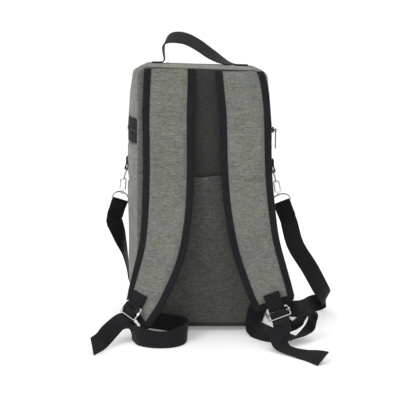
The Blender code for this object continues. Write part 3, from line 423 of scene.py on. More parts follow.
# One cloth in lit and shaded copies: painted light makes the sides lighter, and painted shade makes the back and
# pocket darker than the straps
strap_cloth = heather("grey heather", 0.95)
back_cloth = heather("grey heather, back, painted shade", 0.85, 0.22)
pocket_cloth = heather("grey heather, pocket, painted shade", 0.85, 0.42)
side_cloth = heather("grey heather, sides, painted light", 1.04, seams=True)


def puckers(along, away):
    """The small ripples beside a seam, which fade with the distance from it."""
    near = math.exp(-away / 0.007)
    return near * 0.0009 * noise.noise(Vector((along * 130, away * 40, 3.1)))


def gusset_wrinkle(x, y, z, outward):
    """How far the gusset's cloth stands out or in: long upright creases and seam puckers."""
    upright = outward[1] ** 2
    side = 5.0 if x < 0 else 9.0
    crease = noise.noise(Vector((y * 34, z * 5.5, side))) * 0.0017
    crease += noise.noise(Vector((y * 75, z * 22, side + 2))) * 0.0006
    level = noise.noise(Vector((x * 14, y * 26, side + 4))) * 0.0008
    away = min(y - GUSSET_BACK, GUSSET_FRONT - y)
    fade = min(1.0, away / 0.016)
    if outward[1] < -0.5:
        return 0.0
    moved = crease * (1 - upright) + level * upright
    tuck = SEAM_TUCK * math.exp(-away / SEAM_TUCK)
    return moved * fade + puckers(z + x, away) - tuck


def let_swell(piece, held, pressure, cap):
    """Lets a piece's cloth swell and crease between its held points, by simulation, within a cap."""
    mesh = piece.data
    start = [vertex.co.copy() for vertex in mesh.vertices]
    piece.vertex_groups.new(name="held").add(held, 1.0, "REPLACE")
    cloth = piece.modifiers.new("cloth", "CLOTH")
    cloth.settings.vertex_group_mass = "held"
    cloth.settings.quality = 4
    cloth.settings.mass = 0.25
    cloth.settings.shrink_min = -CLOTH_SLACK
    cloth.settings.tension_stiffness = 12
    cloth.settings.compression_stiffness = 12
    cloth.settings.bending_stiffness = 0.4
    cloth.settings.use_pressure = True
    cloth.settings.uniform_pressure_force = pressure
    cloth.settings.effector_weights.gravity = 0
    cloth.collision_settings.use_collision = False
    for step in range(1, SWELL_FRAMES + 1):
        bpy.context.scene.frame_set(step)
    graph = bpy.context.evaluated_depsgraph_get()
    swollen = piece.evaluated_get(graph).to_mesh()
    places = [vertex.co.copy() for vertex in swollen.vertices]
    piece.evaluated_get(graph).to_mesh_clear()
    piece.modifiers.remove(cloth)
    piece.vertex_groups.clear()
    bpy.context.scene.frame_set(1)
    for vertex, old, new in zip(mesh.vertices, start, places):
        moved = new - old
        if moved.length > cap:
            moved = moved.normalized() * cap
        vertex.co = old + moved


def sewn_down(x, y, z):
    """Whether webbing is sewn on the gusset here: the grab handle's ends and the side tabs."""
    if z > BAG_HEIGHT - TOP_PATCH.deep:
        return TOP_PATCH.low < abs(x) < TOP_PATCH.high and abs(y) < TOP_PATCH.half
    return abs(y) < SIDE_PATCH.half and SIDE_PATCH.low < z < SIDE_PATCH.high


def make_gusset(node, open_z, closed_z, corner, finish):
    """One part of the gusset, as a thick sheet with its open ends rolled under at the zip."""
    rows = []
    for (x, z), outward in seam_path(open_z, closed_z, corner, 60, 12, 44):
        row = []
        for share in depth_shares():
            flat = gusset_point(x, z, outward, share)
            inside = min(flat[1] - GUSSET_BACK, GUSSET_FRONT - flat[1])
            if sewn_down(x, flat[1], z):
                lift = -SEWN_IN
            else:
                lift = gusset_wrinkle(x, flat[1], z, outward) - SUNK * min(1.0, max(inside, 0) / SINK_WIDTH)
            past = abs(z - open_z)
            if past < EDGE_ROLL:
                lift -= EDGE_ROLL - math.sqrt(EDGE_ROLL**2 - (EDGE_ROLL - past) ** 2)
            row.append(gusset_point(x, z, outward, share, lift))
        rows.append(row)
    if closed_z > open_z:
        rows = rows[::-1]
    piece = add_piece(f"{node}_cloth", grid_mesh(rows), finish)
    held = [
        vertex.index for vertex in piece.data.vertices
        if min(vertex.co.y - GUSSET_BACK, GUSSET_FRONT - vertex.co.y) < HELD_EDGE
        or abs(vertex.co.z - open_z) < 2 * HELD_EDGE or vertex.co.z < WALL or sewn_down(*vertex.co)
    ]
    let_swell(piece, held, 1.5, 0.0015)
    shell = piece.modifiers.new("foam", "SOLIDIFY")
    shell.thickness = WALL
    shell.offset = -1
    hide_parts(node)
    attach(piece, "bag")


def grid_mesh(rows):
    """An open sheet through rows of points of equal count."""
    across = len(rows[0])
    faces = [
        (i * across + j, i * across + j + 1, (i + 1) * across + j + 1, (i + 1) * across + j)
        for i in range(len(rows) - 1)
        for j in range(across - 1)
    ]
    return mesh_of([point for row in rows for point in row], faces)


EDGE_ROLL = 0.0022
SEAM_TUCK = 0.0022
CLOTH_SLACK = 0.03
HELD_EDGE = 0.003
# How far the gusset lies inside its full shape before it swells, and under the webbing sewn on it
SUNK = 0.0012
SINK_WIDTH = 0.016
SEWN_IN = 0.0002
Patch = namedtuple("Patch", "low high half deep")
TOP_PATCH = Patch(0.054, 0.086, 0.018, 0.012)
SIDE_PATCH = Patch(0.238, 0.284, 0.0165, 0.0)
SWELL_FRAMES = 16
PANEL_ACROSS = 64
PANEL_UP = 70
# A panel's edge as it rolls over into its seam: how far outward and how deep, as shares of the roll
RimRow = namedtuple("RimRow", "outward deep")
RIM = (
    RimRow(0.45, 0.06), RimRow(0.80, 0.26), RimRow(0.96, 0.56), RimRow(1.0, 0.88), RimRow(0.86, 1.20),
    RimRow(0.40, 1.42),
)


def panel_places(low, high, corners, inset, top_inset):
    """Rows of x, z places over a panel with rounded corners, closer together at its sides."""
    half = HALF_WIDTH - inset
    radii = [max(corner - inset, 0.0) for corner in corners]
    rows = []
    for i in range(PANEL_UP + 1):
        row = []
        for j in range(PANEL_ACROSS + 1):
            x = half * math.sin(math.pi / 2 * (2 * j / PANEL_ACROSS - 1))
            drops = []
            for radius in radii:
                past = abs(x) - (half - radius)
                curve = radius - math.sqrt(max(radius**2 - past**2, 0)) if past > 0 and radius else 0
                drops.append(curve)
            foot = low + inset + drops[0]
            head = high - top_inset - drops[1]
            share = i / PANEL_UP
            eased = share + 0.06 * math.sin(2 * math.pi * share) / (-2 * math.pi) * 6
            row.append((x, foot + (head - foot) * eased))
        rows.append(row)
    return rows


def boundary(rows):
    """The indices of a grid's outer points in order round it."""
    up, across = len(rows), len(rows[0])
    loop = [(0, j) for j in range(across)]
    loop += [(i, across - 1) for i in range(1, up)]
    loop += [(up - 1, j) for j in range(across - 2, -1, -1)]
    return loop + [(i, 0) for i in range(up - 2, 0, -1)]


def make_panel(name, low, high, corners, face, way, thick, roll=ROLL, top_roll=None):
    """A padded panel: its face, the edge rolled into the seam, and its hidden inner face."""
    top_roll = roll if top_roll is None else top_roll
    rows = panel_places(low, high, corners, roll, top_roll)
    across = len(rows[0])
    vertices = []
    for row in rows:
        for x, z in row:
            settled = settle(x, z)
            vertices.append((settled[0], face(x, z), settled[1]))
    faces = []
    for i in range(len(rows) - 1):
        for j in range(across - 1):
            a = i * across + j
            faces.append((a, a + 1, a + 1 + across, a + across))
    loop = boundary(rows)
    flat = [Vector(rows[i][j]) for i, j in loop]
    ring = [i * across + j for i, j in loop]
    count = len(loop)
    for rim in RIM:
        start = len(vertices)
        for k, (here, (i, _)) in enumerate(zip(flat, loop)):
            step = (flat[(k + 1) % count] - flat[k - 1]).normalized()
            outward = Vector((step.y, -step.x))
            size = top_roll if i == len(rows) - 1 else roll
            spot = here + outward * rim.outward * size
            settled = settle(spot.x, spot.y)
            vertices.append((settled[0], face(here.x, here.y) - way * rim.deep * size, settled[1]))
        made = list(range(start, start + count))
        for k in range(count):
            faces.append((ring[k], ring[k - 1], made[k - 1], made[k]))
        ring = made
    start = len(vertices)
    for row in rows:
        for x, z in row:
            settled = settle(x, z)
            vertices.append((settled[0], face(x, z) - way * thick, settled[1]))
    for i in range(len(rows) - 1):
        for j in range(across - 1):
            a = start + i * across + j
            faces.append((a, a + across, a + 1 + across, a + 1))
    inner = [start + i * across + j for i, j in loop]
    for k in range(count):
        faces.append((ring[k], ring[k - 1], inner[k - 1], inner[k]))
    mesh = mesh_of(vertices, faces)
    shape = bmesh.new()
    shape.from_mesh(mesh)
    bmesh.ops.remove_doubles(shape, verts=shape.verts, dist=1e-6)
    bmesh.ops.recalc_face_normals(shape, faces=shape.faces)
    shape.to_mesh(mesh)
    shape.free()
    return mesh


def edge_distance(x, z, low, high):
    """How far a panel's point lies from the nearest seam."""
    return max(0.0, min(HALF_WIDTH - abs(x), z - low, high - z))


def back_face(x, z):
    """The back panel, which dimples inward only, so that it stays behind the pocket and the straps."""
    away = edge_distance(x, z, FOOT_LIFT, BAG_HEIGHT)
    fade = min(1.0, away / 0.02)
    soft = noise.noise(Vector((x * 18, z * 11, 1.7))) * 0.5 + noise.noise(Vector((x * 42, z * 30, 7.7))) * 0.22
    dimple = 0.0016 * fade * (soft - 0.55)
    return -HALF_DEPTH - dimple - puckers(x + z, away)


def front_face(low, high):
    """The face of a front panel between two seams."""
    def face(x, z):
        away = edge_distance(x, z, low, high)
        fade = min(1.0, away / 0.02)
        soft = noise.noise(Vector((x * 16, z * 13, 11.7))) * 0.0012
        soft += noise.noise(Vector((x * 38, z * 34, 17.7))) * 0.0004
        return front_y(x / HALF_WIDTH, z) + soft * fade + puckers(x - z, away)
    return face


def make_walls():
    make_gusset("gusset_lower", ZIP_FOOT, FOOT_LIFT, FOOT_CORNER, side_cloth)
    make_gusset("gusset_lid", ZIP_TOP, BAG_HEIGHT, TOP_CORNER, side_cloth)
    for node, low, high, corners, face, way in (
        ("back_panel", FOOT_LIFT, BAG_HEIGHT, (FOOT_CORNER, TOP_CORNER), back_face, -1),
        ("front_panel_lower", FOOT_LIFT, ZIP_FOOT, (FOOT_CORNER, 0), front_face(FOOT_LIFT, ZIP_FOOT), 1),
        ("front_panel_lid", ZIP_TOP, BAG_HEIGHT, (0, TOP_CORNER), front_face(ZIP_TOP, BAG_HEIGHT), 1),
    ):
        finish = back_cloth if way < 0 else side_cloth
        piece = add_piece(f"{node}_cloth", make_panel(node, low, high, corners, face, way, WALL), finish)
        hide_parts(node)
        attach(piece, "bag")


make_walls()

# The back pocket
# A single layer of the same cloth sewn into the side and foot seams over the lower back. Its mouth
# is a turned hem that sags a little between the straps, with a short bar of tacking stitches.
POCKET_HEIGHT = 0.257
POCKET_CLOTH = 0.0016
HEM_DEPTH = 0.011
HEM_THICKNESS = 0.0005
MOUTH_SAG = 0.0032
MOUTH_GAPE = 0.0024
MOUTH_MIDDLE = 0.010
MOUTH_SPREAD = 0.018
TACK_PLACE = (0.0085, 0.006)
THREAD_PALE = (0.20, 0.19, 0.16)
THREAD_DARK = (0.008, 0.008, 0.009)


def thread(name, colour):
    """Twisted sewing thread."""
    finish = Finish(name, 0.7)
    twist = finish.noise((1400.0, 1400.0, 1400.0), 1.0)
    finish.set(finish.shader, {"Base Color": finish.mix(twist, tuple(c * 0.7 for c in colour), colour)})
    finish.bump(twist, 0.0002)
    return finish


dark_thread = thread("dark thread", THREAD_DARK)
pale_thread = thread("pale thread", THREAD_PALE)
# Along one stitch: its place, its thickness and how high it stands, as shares
StitchRow = namedtuple("StitchRow", "along thick high")
STITCH = (
    StitchRow(0.0, 0.35, -0.9), StitchRow(0.18, 0.85, -0.1), StitchRow(0.5, 1.0, 0.35),
    StitchRow(0.82, 0.85, -0.1), StitchRow(1.0, 0.35, -0.9),
)
STITCH_SIDES = 5


def add_stitch(vertices, faces, start, end, normal, radius):
    """One stitch that dips into the cloth at both its ends."""
    start, end, normal = Vector(start), Vector(end), Vector(normal).normalized()
    across = (end - start).cross(normal).normalized()
    first = len(vertices)
    for row in STITCH:
        centre = start.lerp(end, row.along) + normal * radius * row.high
        for k in range(STITCH_SIDES):
            turn = 2 * math.pi * k / STITCH_SIDES
            vertices.append(
                centre + (across * math.cos(turn) + normal * math.sin(turn)) * radius * row.thick
            )
    for i in range(len(STITCH) - 1):
        for k in range(STITCH_SIDES):
            a = first + i * STITCH_SIDES + k
            b = first + i * STITCH_SIDES + (k + 1) % STITCH_SIDES
            faces.append((a, b, b + STITCH_SIDES, a + STITCH_SIDES))
    last = first + (len(STITCH) - 1) * STITCH_SIDES
    faces.append(tuple(range(first + STITCH_SIDES - 1, first - 1, -1)))
    faces.append(tuple(range(last, last + STITCH_SIDES)))


def sewn_row(vertices, faces, points, normals, pitch=0.0042, radius=0.00032, fill=0.72):
    """Stitches at an even pitch along a line of points with outward directions."""
    points = [Vector(p) for p in points]
    normals = [Vector(n) for n in normals]
    lengths = [0.0]
    for a, b in zip(points, points[1:]):
        lengths.append(lengths[-1] + (b - a).length)

    def at(distance):
        for k in range(len(points) - 1):
            if distance <= lengths[k + 1] or k == len(points) - 2:
                step = lengths[k + 1] - lengths[k]
                share = min(1.0, (distance - lengths[k]) / step) if step else 0.0
                return points[k].lerp(points[k + 1], share), normals[k].lerp(normals[k + 1], share)

    count = max(1, int(lengths[-1] / pitch))
    for i in range(count):
        start, normal = at(lengths[-1] * i / count)
        end, _ = at(lengths[-1] * (i + fill) / count)
        add_stitch(vertices, faces, start, end, normal, radius)


def add_sewing(name, vertices, faces, finish):
    """The stitches of one group as one joined mesh."""
    piece = add_piece(name, mesh_of(vertices, faces), finish)
    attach(piece, "bag")
    return piece


def mouth_sag(x):
    """How far the pocket's mouth hangs down between the straps."""
    return MOUTH_SAG * math.exp(-(((x - MOUTH_MIDDLE + 0.012) / MOUTH_SPREAD) ** 2))


def pocket_face(x, z):
    """The pocket's outer face, with its hem, its gape and soft dimples."""
    away = edge_distance(x, z, FOOT_LIFT, BAG_HEIGHT)
    down = POCKET_HEIGHT - z
    gape = MOUTH_GAPE * math.exp(-(((x - MOUTH_MIDDLE) / MOUTH_SPREAD) ** 2)) * math.exp(-down / 0.016)
    hem = HEM_THICKNESS if down < HEM_DEPTH else 0.0
    groove = 0.0004 * math.exp(-(((down - HEM_DEPTH) / 0.0016) ** 2))
    soft = noise.noise(Vector((x * 15, z * 10, 21.7))) * 0.6 + noise.noise(Vector((x * 40, z * 26, 27.7))) * 0.3
    dimple = 0.0011 * min(1.0, away / 0.02) * (soft - 0.35)
    proud = POCKET_CLOTH + SEAM_GAP + gape + hem - groove + dimple + puckers(x + z, away)
    return -HALF_DEPTH - proud


def make_pocket():
    mesh = make_panel("pocket", FOOT_LIFT, POCKET_HEIGHT, (FOOT_CORNER, 0), pocket_face, -1,
                      POCKET_CLOTH * 0.85, ROLL * 1.15, POCKET_CLOTH / 2)
    for vertex in mesh.vertices:
        near = max(0.0, 1 - (POCKET_HEIGHT - vertex.co.z) / 0.05)
        vertex.co.z -= mouth_sag(vertex.co.x) * near
    piece = add_piece("back_pocket_cloth", mesh, pocket_cloth)
    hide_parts("back_pocket")
    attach(piece, "bag")
    vertices, faces, line, normals = [], [], [], []
    for i in range(61):
        x = (HALF_WIDTH - 0.004) * (2 * i / 60 - 1)
        z = POCKET_HEIGHT - HEM_DEPTH
        sunk = z - mouth_sag(x) * (1 - HEM_DEPTH / 0.05)
        line.append((settle(x, z)[0], pocket_face(x, z) - 0.0001, settle(x, sunk)[1]))
        normals.append((0, -1, 0))
    sewn_row(vertices, faces, line, normals)
    add_sewing("pocket_hem_stitches", vertices, faces, dark_thread)
    vertices, faces = [], []
    x, width = TACK_PLACE
    for i in range(9):
        here = x + width * (i / 8 - 0.5)
        z = POCKET_HEIGHT - 0.0035 - mouth_sag(here)
        y = pocket_face(here, z) - 0.0002
        add_stitch(vertices, faces, (here, y, z - 0.0012), (here + 0.0003, y, z + 0.0012), (0, -1, 0), 0.00042)
    add_sewing("pocket_tack", vertices, faces, pale_thread)


make_pocket()

# The zip
# Two woven tapes sewn under the folded edges of the cloth, a coil of moulded teeth between them that
# runs round both sides and the front, and a slider with a hanging pull on the right side.
TAPE_HEIGHT = 0.0148
COIL_HEIGHT = 0.006
TAPE_THICKNESS = 0.0012
COIL_THICKNESS = 0.0024
SLIDER_LENGTH = 0.012
TOOTH_PITCH = 0.0016
TOOTH_WIDTH = 0.0010
TOOTH_LENGTH = 0.0036
TOOTH_HEIGHT = 0.0015
TAPE_STEPS = 8
FRONT_STEPS = 60
TAPE_BLACK = (0.0045, 0.0045, 0.0055)


def zip_line(z, proud):
    """Points round the left side, the front and the right side at one height."""
    shares = depth_shares()
    left = [gusset_point(-HALF_WIDTH, z, (-1, 0), share, proud) for share in shares]
    right = [gusset_point(HALF_WIDTH, z, (1, 0), share, proud) for share in reversed(shares)]
    front = []
    for i in range(1, FRONT_STEPS):
        share = math.sin(math.pi / 2 * (2 * i / FRONT_STEPS - 1))
        x, settled = settle(share * HALF_WIDTH, z)
        front.append((x, front_y(share, z) + proud, settled))
    return left + front + right


def woven_tape(name, colour, pitch=0.0009, roughness=0.85):
    """Fine ribbed tape, its ribs one above another."""
    finish = Finish(name, roughness)
    where = finish.node("ShaderNodeTexCoord", output=3)
    parts = finish.tree.nodes.new("ShaderNodeSeparateXYZ")
    finish.set(parts, {0: where})
    z = Value(finish, parts.outputs[2])
    ribs = (z * (2 * math.pi / pitch)).sine() * 0.5 + 0.5
    grain = finish.noise((900.0, 900.0, 900.0), 2.0)
    worn = finish.noise((30.0, 30.0, 30.0), 3.0)
    shade = finish.span(ribs * 0.55 + grain * 0.45, 0.2, 0.8) * 0.75 + finish.span(worn, 0.35, 0.7) * 0.25
    dark = tuple(c * 0.6 for c in colour)
    pale = tuple(c * 1.75 for c in colour)
    finish.set(finish.shader, {
        "Base Color": finish.mix(shade, dark, pale),
        "Sheen Weight": 0.04,
        "Specular IOR Level": 0.16,
    })
    finish.bump(ribs * 0.8 + grain * 0.3, 0.0003, 0.8)
    return finish


def plastic(name, colour, roughness):
    """Moulded plastic with a fine uneven gloss."""
    finish = Finish(name, roughness)
    mark = finish.noise((220.0, 220.0, 220.0), 3.0)
    finish.set(finish.shader, {
        "Base Color": finish.mix(mark, tuple(c * 0.8 for c in colour), tuple(c * 1.3 for c in colour)),
        "Roughness": finish.span(mark, 0.3, 0.7, roughness - 0.07, roughness + 0.1),
    })
    finish.bump(mark, 0.0001, 0.3)
    return finish


zip_tape_finish = woven_tape("zip tape", TAPE_BLACK, 0.0008)
coil_plastic = plastic("zip plastic", TAPE_BLACK, 0.38)
slider_lacquer = plastic("black lacquer", TAPE_BLACK, 0.3)


def make_tape(node, foot, height):
    """One zip tape, which swells slightly where it is sewn to the coil."""
    rows = []
    for i in range(TAPE_STEPS + 1):
        share = i / TAPE_STEPS
        proud = 0.0004 + 0.0002 * math.sin(math.pi * share)
        rows.append(zip_line(foot + height * share, proud))
    piece = add_piece(f"{node}_weave", grid_mesh(rows[::-1]), zip_tape_finish)
    shell = piece.modifiers.new("tape thickness", "SOLIDIFY")
    shell.thickness = 0.0009
    shell.offset = -1
    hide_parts(node)
    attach(piece, "bag")


def make_teeth():
    """The coil: two rows of teeth that mesh, on a flat core."""
    middle = ZIP_FOOT + TAPE_HEIGHT + SEAM_GAP + COIL_HEIGHT / 2
    line = [Vector(p) for p in zip_line(middle, 0.0)]
    lengths = [0.0]
    for a, b in zip(line, line[1:]):
        lengths.append(lengths[-1] + (b - a).length)
    vertices, faces = [], []
    count = int(lengths[-1] / TOOTH_PITCH)
    k = 0
    for i in range(1, 2 * count):
        distance = lengths[-1] * i / (2 * count)
        while lengths[k + 1] < distance:
            k += 1
        share = (distance - lengths[k]) / (lengths[k + 1] - lengths[k])
        here = line[k].lerp(line[k + 1], share)
        along = (line[k + 1] - line[k]).normalized()
        out = along.cross(Vector((0, 0, -1))).normalized()
        if out.dot(Vector((here.x, here.y, 0))) < 0:
            out = -out
        way = 1 if i % 2 else -1
        first = len(vertices)
        for up, wide, high in ((-0.35, 0.8, 0.55), (-0.1, 1.0, 0.95), (0.55, 0.95, 1.0), (0.9, 0.7, 0.75)):
            level = Vector((0, 0, way * up * TOOTH_LENGTH * 0.85))
            for side, rise in ((-0.5, -0.4), (-0.42, 0.75), (0.0, 1.0), (0.42, 0.75), (0.5, -0.4)):
                spot = here + level + along * side * wide * TOOTH_WIDTH + out * rise * high * TOOTH_HEIGHT
                vertices.append(spot)
        for ring in range(3):
            for j in range(5):
                a = first + ring * 5 + j
                b = first + ring * 5 + (j + 1) % 5
                quad = (a, b, b + 5, a + 5)
                faces.append(quad if way > 0 else quad[::-1])
        caps = (tuple(range(first + 4, first - 1, -1)), tuple(range(first + 15, first + 20)))
        faces += caps if way > 0 else tuple(cap[::-1] for cap in caps)
    core = [zip_line(middle + side * COIL_HEIGHT * 0.48, 0.0002) for side in (-1, 1)]
    start = len(vertices)
    across = len(core[0])
    vertices += [Vector(p) for row in core for p in row]
    for j in range(across - 1):
        faces.append((start + j, start + j + 1, start + across + j + 1, start + across + j))
    piece = add_piece("zip_teeth", mesh_of(vertices, faces), coil_plastic)
    piece.data.set_sharp_from_angle(angle=math.radians(50))
    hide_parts("zip_coil")
    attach(piece, "bag")


def make_zip_sewing():
    """Topstitching beside the zip in the folded edges of the cloth."""
    vertices, faces = [], []
    for z in (ZIP_FOOT - 0.0035, ZIP_TOP + 0.0035):
        line = [Vector(p) for p in zip_line(z, 0.0)]
        normals = []
        for p in line:
            way = Vector((p.x, p.y, 0))
            side = abs(p.x) > HALF_WIDTH * 0.9 and abs(p.y) < GUSSET_FRONT
            normals.append(Vector((1 if p.x > 0 else -1, 0, 0)) if side else Vector((0, 1, 0)))
        outer = []
        for p, n in zip(line, normals):
            lift = 0.0
            if n.x:
                lift = gusset_wrinkle(p.x, p.y, z, (n.x, 0))
            else:
                face = front_face(FOOT_LIFT, ZIP_FOOT) if z < ZIP_TOP else front_face(ZIP_TOP, BAG_HEIGHT)
                lift = face(p.x, z) - front_y(p.x / HALF_WIDTH, z)
            outer.append(p + n * lift)
        sewn_row(vertices, faces, outer, normals)
    add_sewing("zip_stitches", vertices, faces, dark_thread)


def dress_node(node, finish, bevel=0.0):
    """Gives a hard CAD piece its finish, and softens its edges."""
    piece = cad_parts[node]
    piece.data.materials.clear()
    piece.data.materials.append(finish.material)
    if bevel:
        edge = piece.modifiers.new("soft edges", "BEVEL")
        edge.width = bevel
        edge.segments = 2
        edge.limit_method = "ANGLE"


make_tape("zip_tape_lower", ZIP_FOOT - 0.001, TAPE_HEIGHT + 0.002)
make_tape("zip_tape_upper", ZIP_TOP - TAPE_HEIGHT - 0.001, TAPE_HEIGHT + 0.002)
make_teeth()
make_zip_sewing()
dress_node("zip_slider", slider_lacquer, 0.0004)
dress_node("pull_ring", slider_lacquer)
dress_node("pull_tab", coil_plastic, 0.0003)

# The grab handle
# Black webbing 30 mm wide that stands up in a loose arch over the bag's top. Both its ends are sewn
# flat to the top with a box of stitches.
WEB_WIDTH = 0.030
WEB_THICKNESS = 0.0016
TAB_WIDTH = 0.025
HANDLE_RISE = 0.046
FIT_GAP = 0.0003
CREASE_STEP = 0.0005
FINE_STEP = 0.0022
FINE_CREASE = 0.0001
WEB_BLACK = (0.0042, 0.0042, 0.0056)
RouteRow = namedtuple("RouteRow", "x y z ax ay az")

# Half of webbing's outline: place across as a share of the half width, then height as a share of
# the half thickness
WebRow = namedtuple("WebRow", "across high")
WEB_HALF = (
    WebRow(-1.0, 0.0), WebRow(-0.985, 0.72), WebRow(-0.94, 1.0), WebRow(-0.86, 0.86), WebRow(-0.45, 0.90),
    WebRow(0.0, 0.92), WebRow(0.45, 0.90), WebRow(0.86, 0.86), WebRow(0.94, 1.0), WebRow(0.985, 0.72),
)


def smooth_chain(keys, steps):
    """Points along a smooth curve through vectors of any length, with steps between each pair."""
    count = len(keys[0])
    ends = [
        [2 * keys[0][k] - keys[1][k] for k in range(count)],
        [2 * keys[-1][k] - keys[-2][k] for k in range(count)],
    ]
    padded = [ends[0], *keys, ends[1]]
    made = []
    for a, b, c, d in zip(padded, padded[1:], padded[2:], padded[3:]):
        for i in range(steps):
            t = i / steps
            made.append(
                [
                    0.5 * (2 * q + (r - p) * t + (2 * p - 5 * q + 4 * r - s) * t**2
                           + (3 * q - p - 3 * r + s) * t**3)
                    for p, q, r, s in zip(a, b, c, d)
                ]
            )
    made.append(list(keys[-1]))
    return made

def refined(keys, spacing):
    """A chain with points close together, on a curve that doesn't overshoot between uneven steps."""
    count = len(keys[0])
    ends = [
        [2 * keys[0][k] - keys[1][k] for k in range(count)],
        [2 * keys[-1][k] - keys[-2][k] for k in range(count)],
    ]
    padded = [ends[0], *keys, ends[1]]
    made = []
    for four in zip(padded, padded[1:], padded[2:], padded[3:]):
        times = [0.0]
        for a, b in zip(four, four[1:]):
            times.append(times[-1] + max(math.dist(a[:3], b[:3]), 1e-6) ** 0.5)
        steps = max(1, math.ceil(math.dist(four[1][:3], four[2][:3]) / spacing))
        for i in range(steps):
            t = times[1] + (times[2] - times[1]) * i / steps
            level = [list(row) for row in four]
            for reach in (1, 2, 3):
                level = [
                    [
                        ((times[j + reach] - t) * p + (t - times[j]) * q) / (times[j + reach] - times[j])
                        if reach != 3 else ((times[2] - t) * p + (t - times[1]) * q) / (times[2] - times[1])
                        for p, q in zip(level[j], level[j + 1])
                    ]
                    for j in range(len(level) - 1)
                ]
            made.append(level[0])
    made.append(list(keys[-1]))
    return made


def laid(chain, width, thickness, floor, crease):
    """Webbing's centres and across directions, lifted clear of the floor and without fold-overs."""
    points = [Vector(row[:3]) for row in chain]
    made = []
    edges = None
    for i, row in enumerate(chain):
        before = (points[i] - points[max(i - 1, 0)]).normalized()
        after = (points[min(i + 1, len(points) - 1)] - points[i]).normalized()
        tangent = (before + after).normalized()
        across = Vector(row[3:6])
        across = (across - across.dot(tangent) * tangent).normalized()
        face = across.cross(tangent)
        side, out = across * width / 2, face * thickness / 2
        centre = points[i].copy()
        if floor:
            centre.z = max(centre.z, abs(side.z) + abs(out.z) + FIT_GAP)
        if edges and 0 < i < len(chain) - 1:
            step = min((centre - side - edges[0]).dot(tangent), (centre + side - edges[1]).dot(tangent))
            if step < crease:
                continue
        edges = (centre - side, centre + side)
        made.append((*centre, *across))
    return made


def web_lengths(rows):
    lengths = [0.0]
    for a, b in zip(rows, rows[1:]):
        lengths.append(lengths[-1] + math.dist(a[:3], b[:3]))
    return lengths


def webbing(node, chain, width, floor=True):
    """Woven webbing along a chain, in place of its CAD solid. Returns its fine chain."""
    coarse = laid(chain, width, WEB_THICKNESS, floor, CREASE_STEP)
    rows = laid(refined(coarse, FINE_STEP), width, WEB_THICKNESS, floor, FINE_CREASE)
    lengths = web_lengths(rows)
    outline = [*WEB_HALF, *(WebRow(-row.across, -row.high) for row in WEB_HALF)]
    count = len(outline)
    vertices, weave = [], []
    points = [Vector(row[:3]) for row in rows]
    for i, row in enumerate(rows):
        tangent = (points[min(i + 1, len(rows) - 1)] - points[max(i - 1, 0)]).normalized()
        across = Vector(row[3:6])
        across = (across - across.dot(tangent) * tangent).normalized()
        face = across.cross(tangent)
        for part in outline:
            u, n = part.across * width / 2, part.high * WEB_THICKNESS / 2
            vertices.append(points[i] + across * u + face * n)
            weave.append((u, lengths[i], n))
    faces = []
    for i in range(len(rows) - 1):
        for j in range(count):
            a, b = i * count + j, i * count + (j + 1) % count
            faces.append((a, b, b + count, a + count))
    last = (len(rows) - 1) * count
    faces.append(tuple(reversed(range(count))))
    faces.append(tuple(range(last, last + count)))
    mesh = mesh_of(vertices, faces)
    layer = mesh.attributes.new("weave", "FLOAT_VECTOR", "POINT")
    for place, value in zip(layer.data, weave):
        place.vector = value
    piece = add_piece(f"{node}_weave", mesh, web_finish)
    piece.data.set_sharp_from_angle(angle=math.radians(60))
    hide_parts(node)
    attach(piece, "bag")
    return rows


def webbing_finish():
    """Woven black webbing: ribs along it, crossed by fine picks that zigzag from rib to rib."""
    finish = Finish("black webbing", 0.62)
    where = finish.tree.nodes.new("ShaderNodeAttribute")
    where.attribute_name = "weave"
    parts = finish.tree.nodes.new("ShaderNodeSeparateXYZ")
    finish.set(parts, {0: Value(finish, where.outputs["Vector"])})
    u, s = (Value(finish, parts.outputs[i]) for i in range(2))
    rib = abs((u * (math.pi / 0.0024)).sine())
    lean = abs((u / 0.0048).fract() - 0.5) * 0.0048
    picks = ((s + lean) * (2 * math.pi / 0.0013)).sine() * 0.5 + 0.5
    grain = finish.noise((700.0, 700.0, 700.0), 2.0)
    worn = finish.noise((22.0, 22.0, 22.0), 3.0)
    shade = rib * 0.35 + picks * 0.35 + grain * 0.3
    dark = tuple(c * 0.55 for c in WEB_BLACK)
    pale = tuple(c * 2.4 for c in WEB_BLACK)
    finish.set(finish.shader, {
        "Base Color": finish.mix(finish.span(shade, 0.25, 0.85) * finish.span(worn, 0.2, 0.8, 0.7, 1.0), dark, pale),
        "Roughness": finish.span(shade, 0.2, 0.9, 0.72, 0.5),
        "Sheen Weight": 0.03,
        "Specular IOR Level": 0.2,
    })
    finish.bump(rib * 0.7 + picks * 0.6 + grain * 0.15, 0.0005, 0.9)
    return finish


web_finish = webbing_finish()


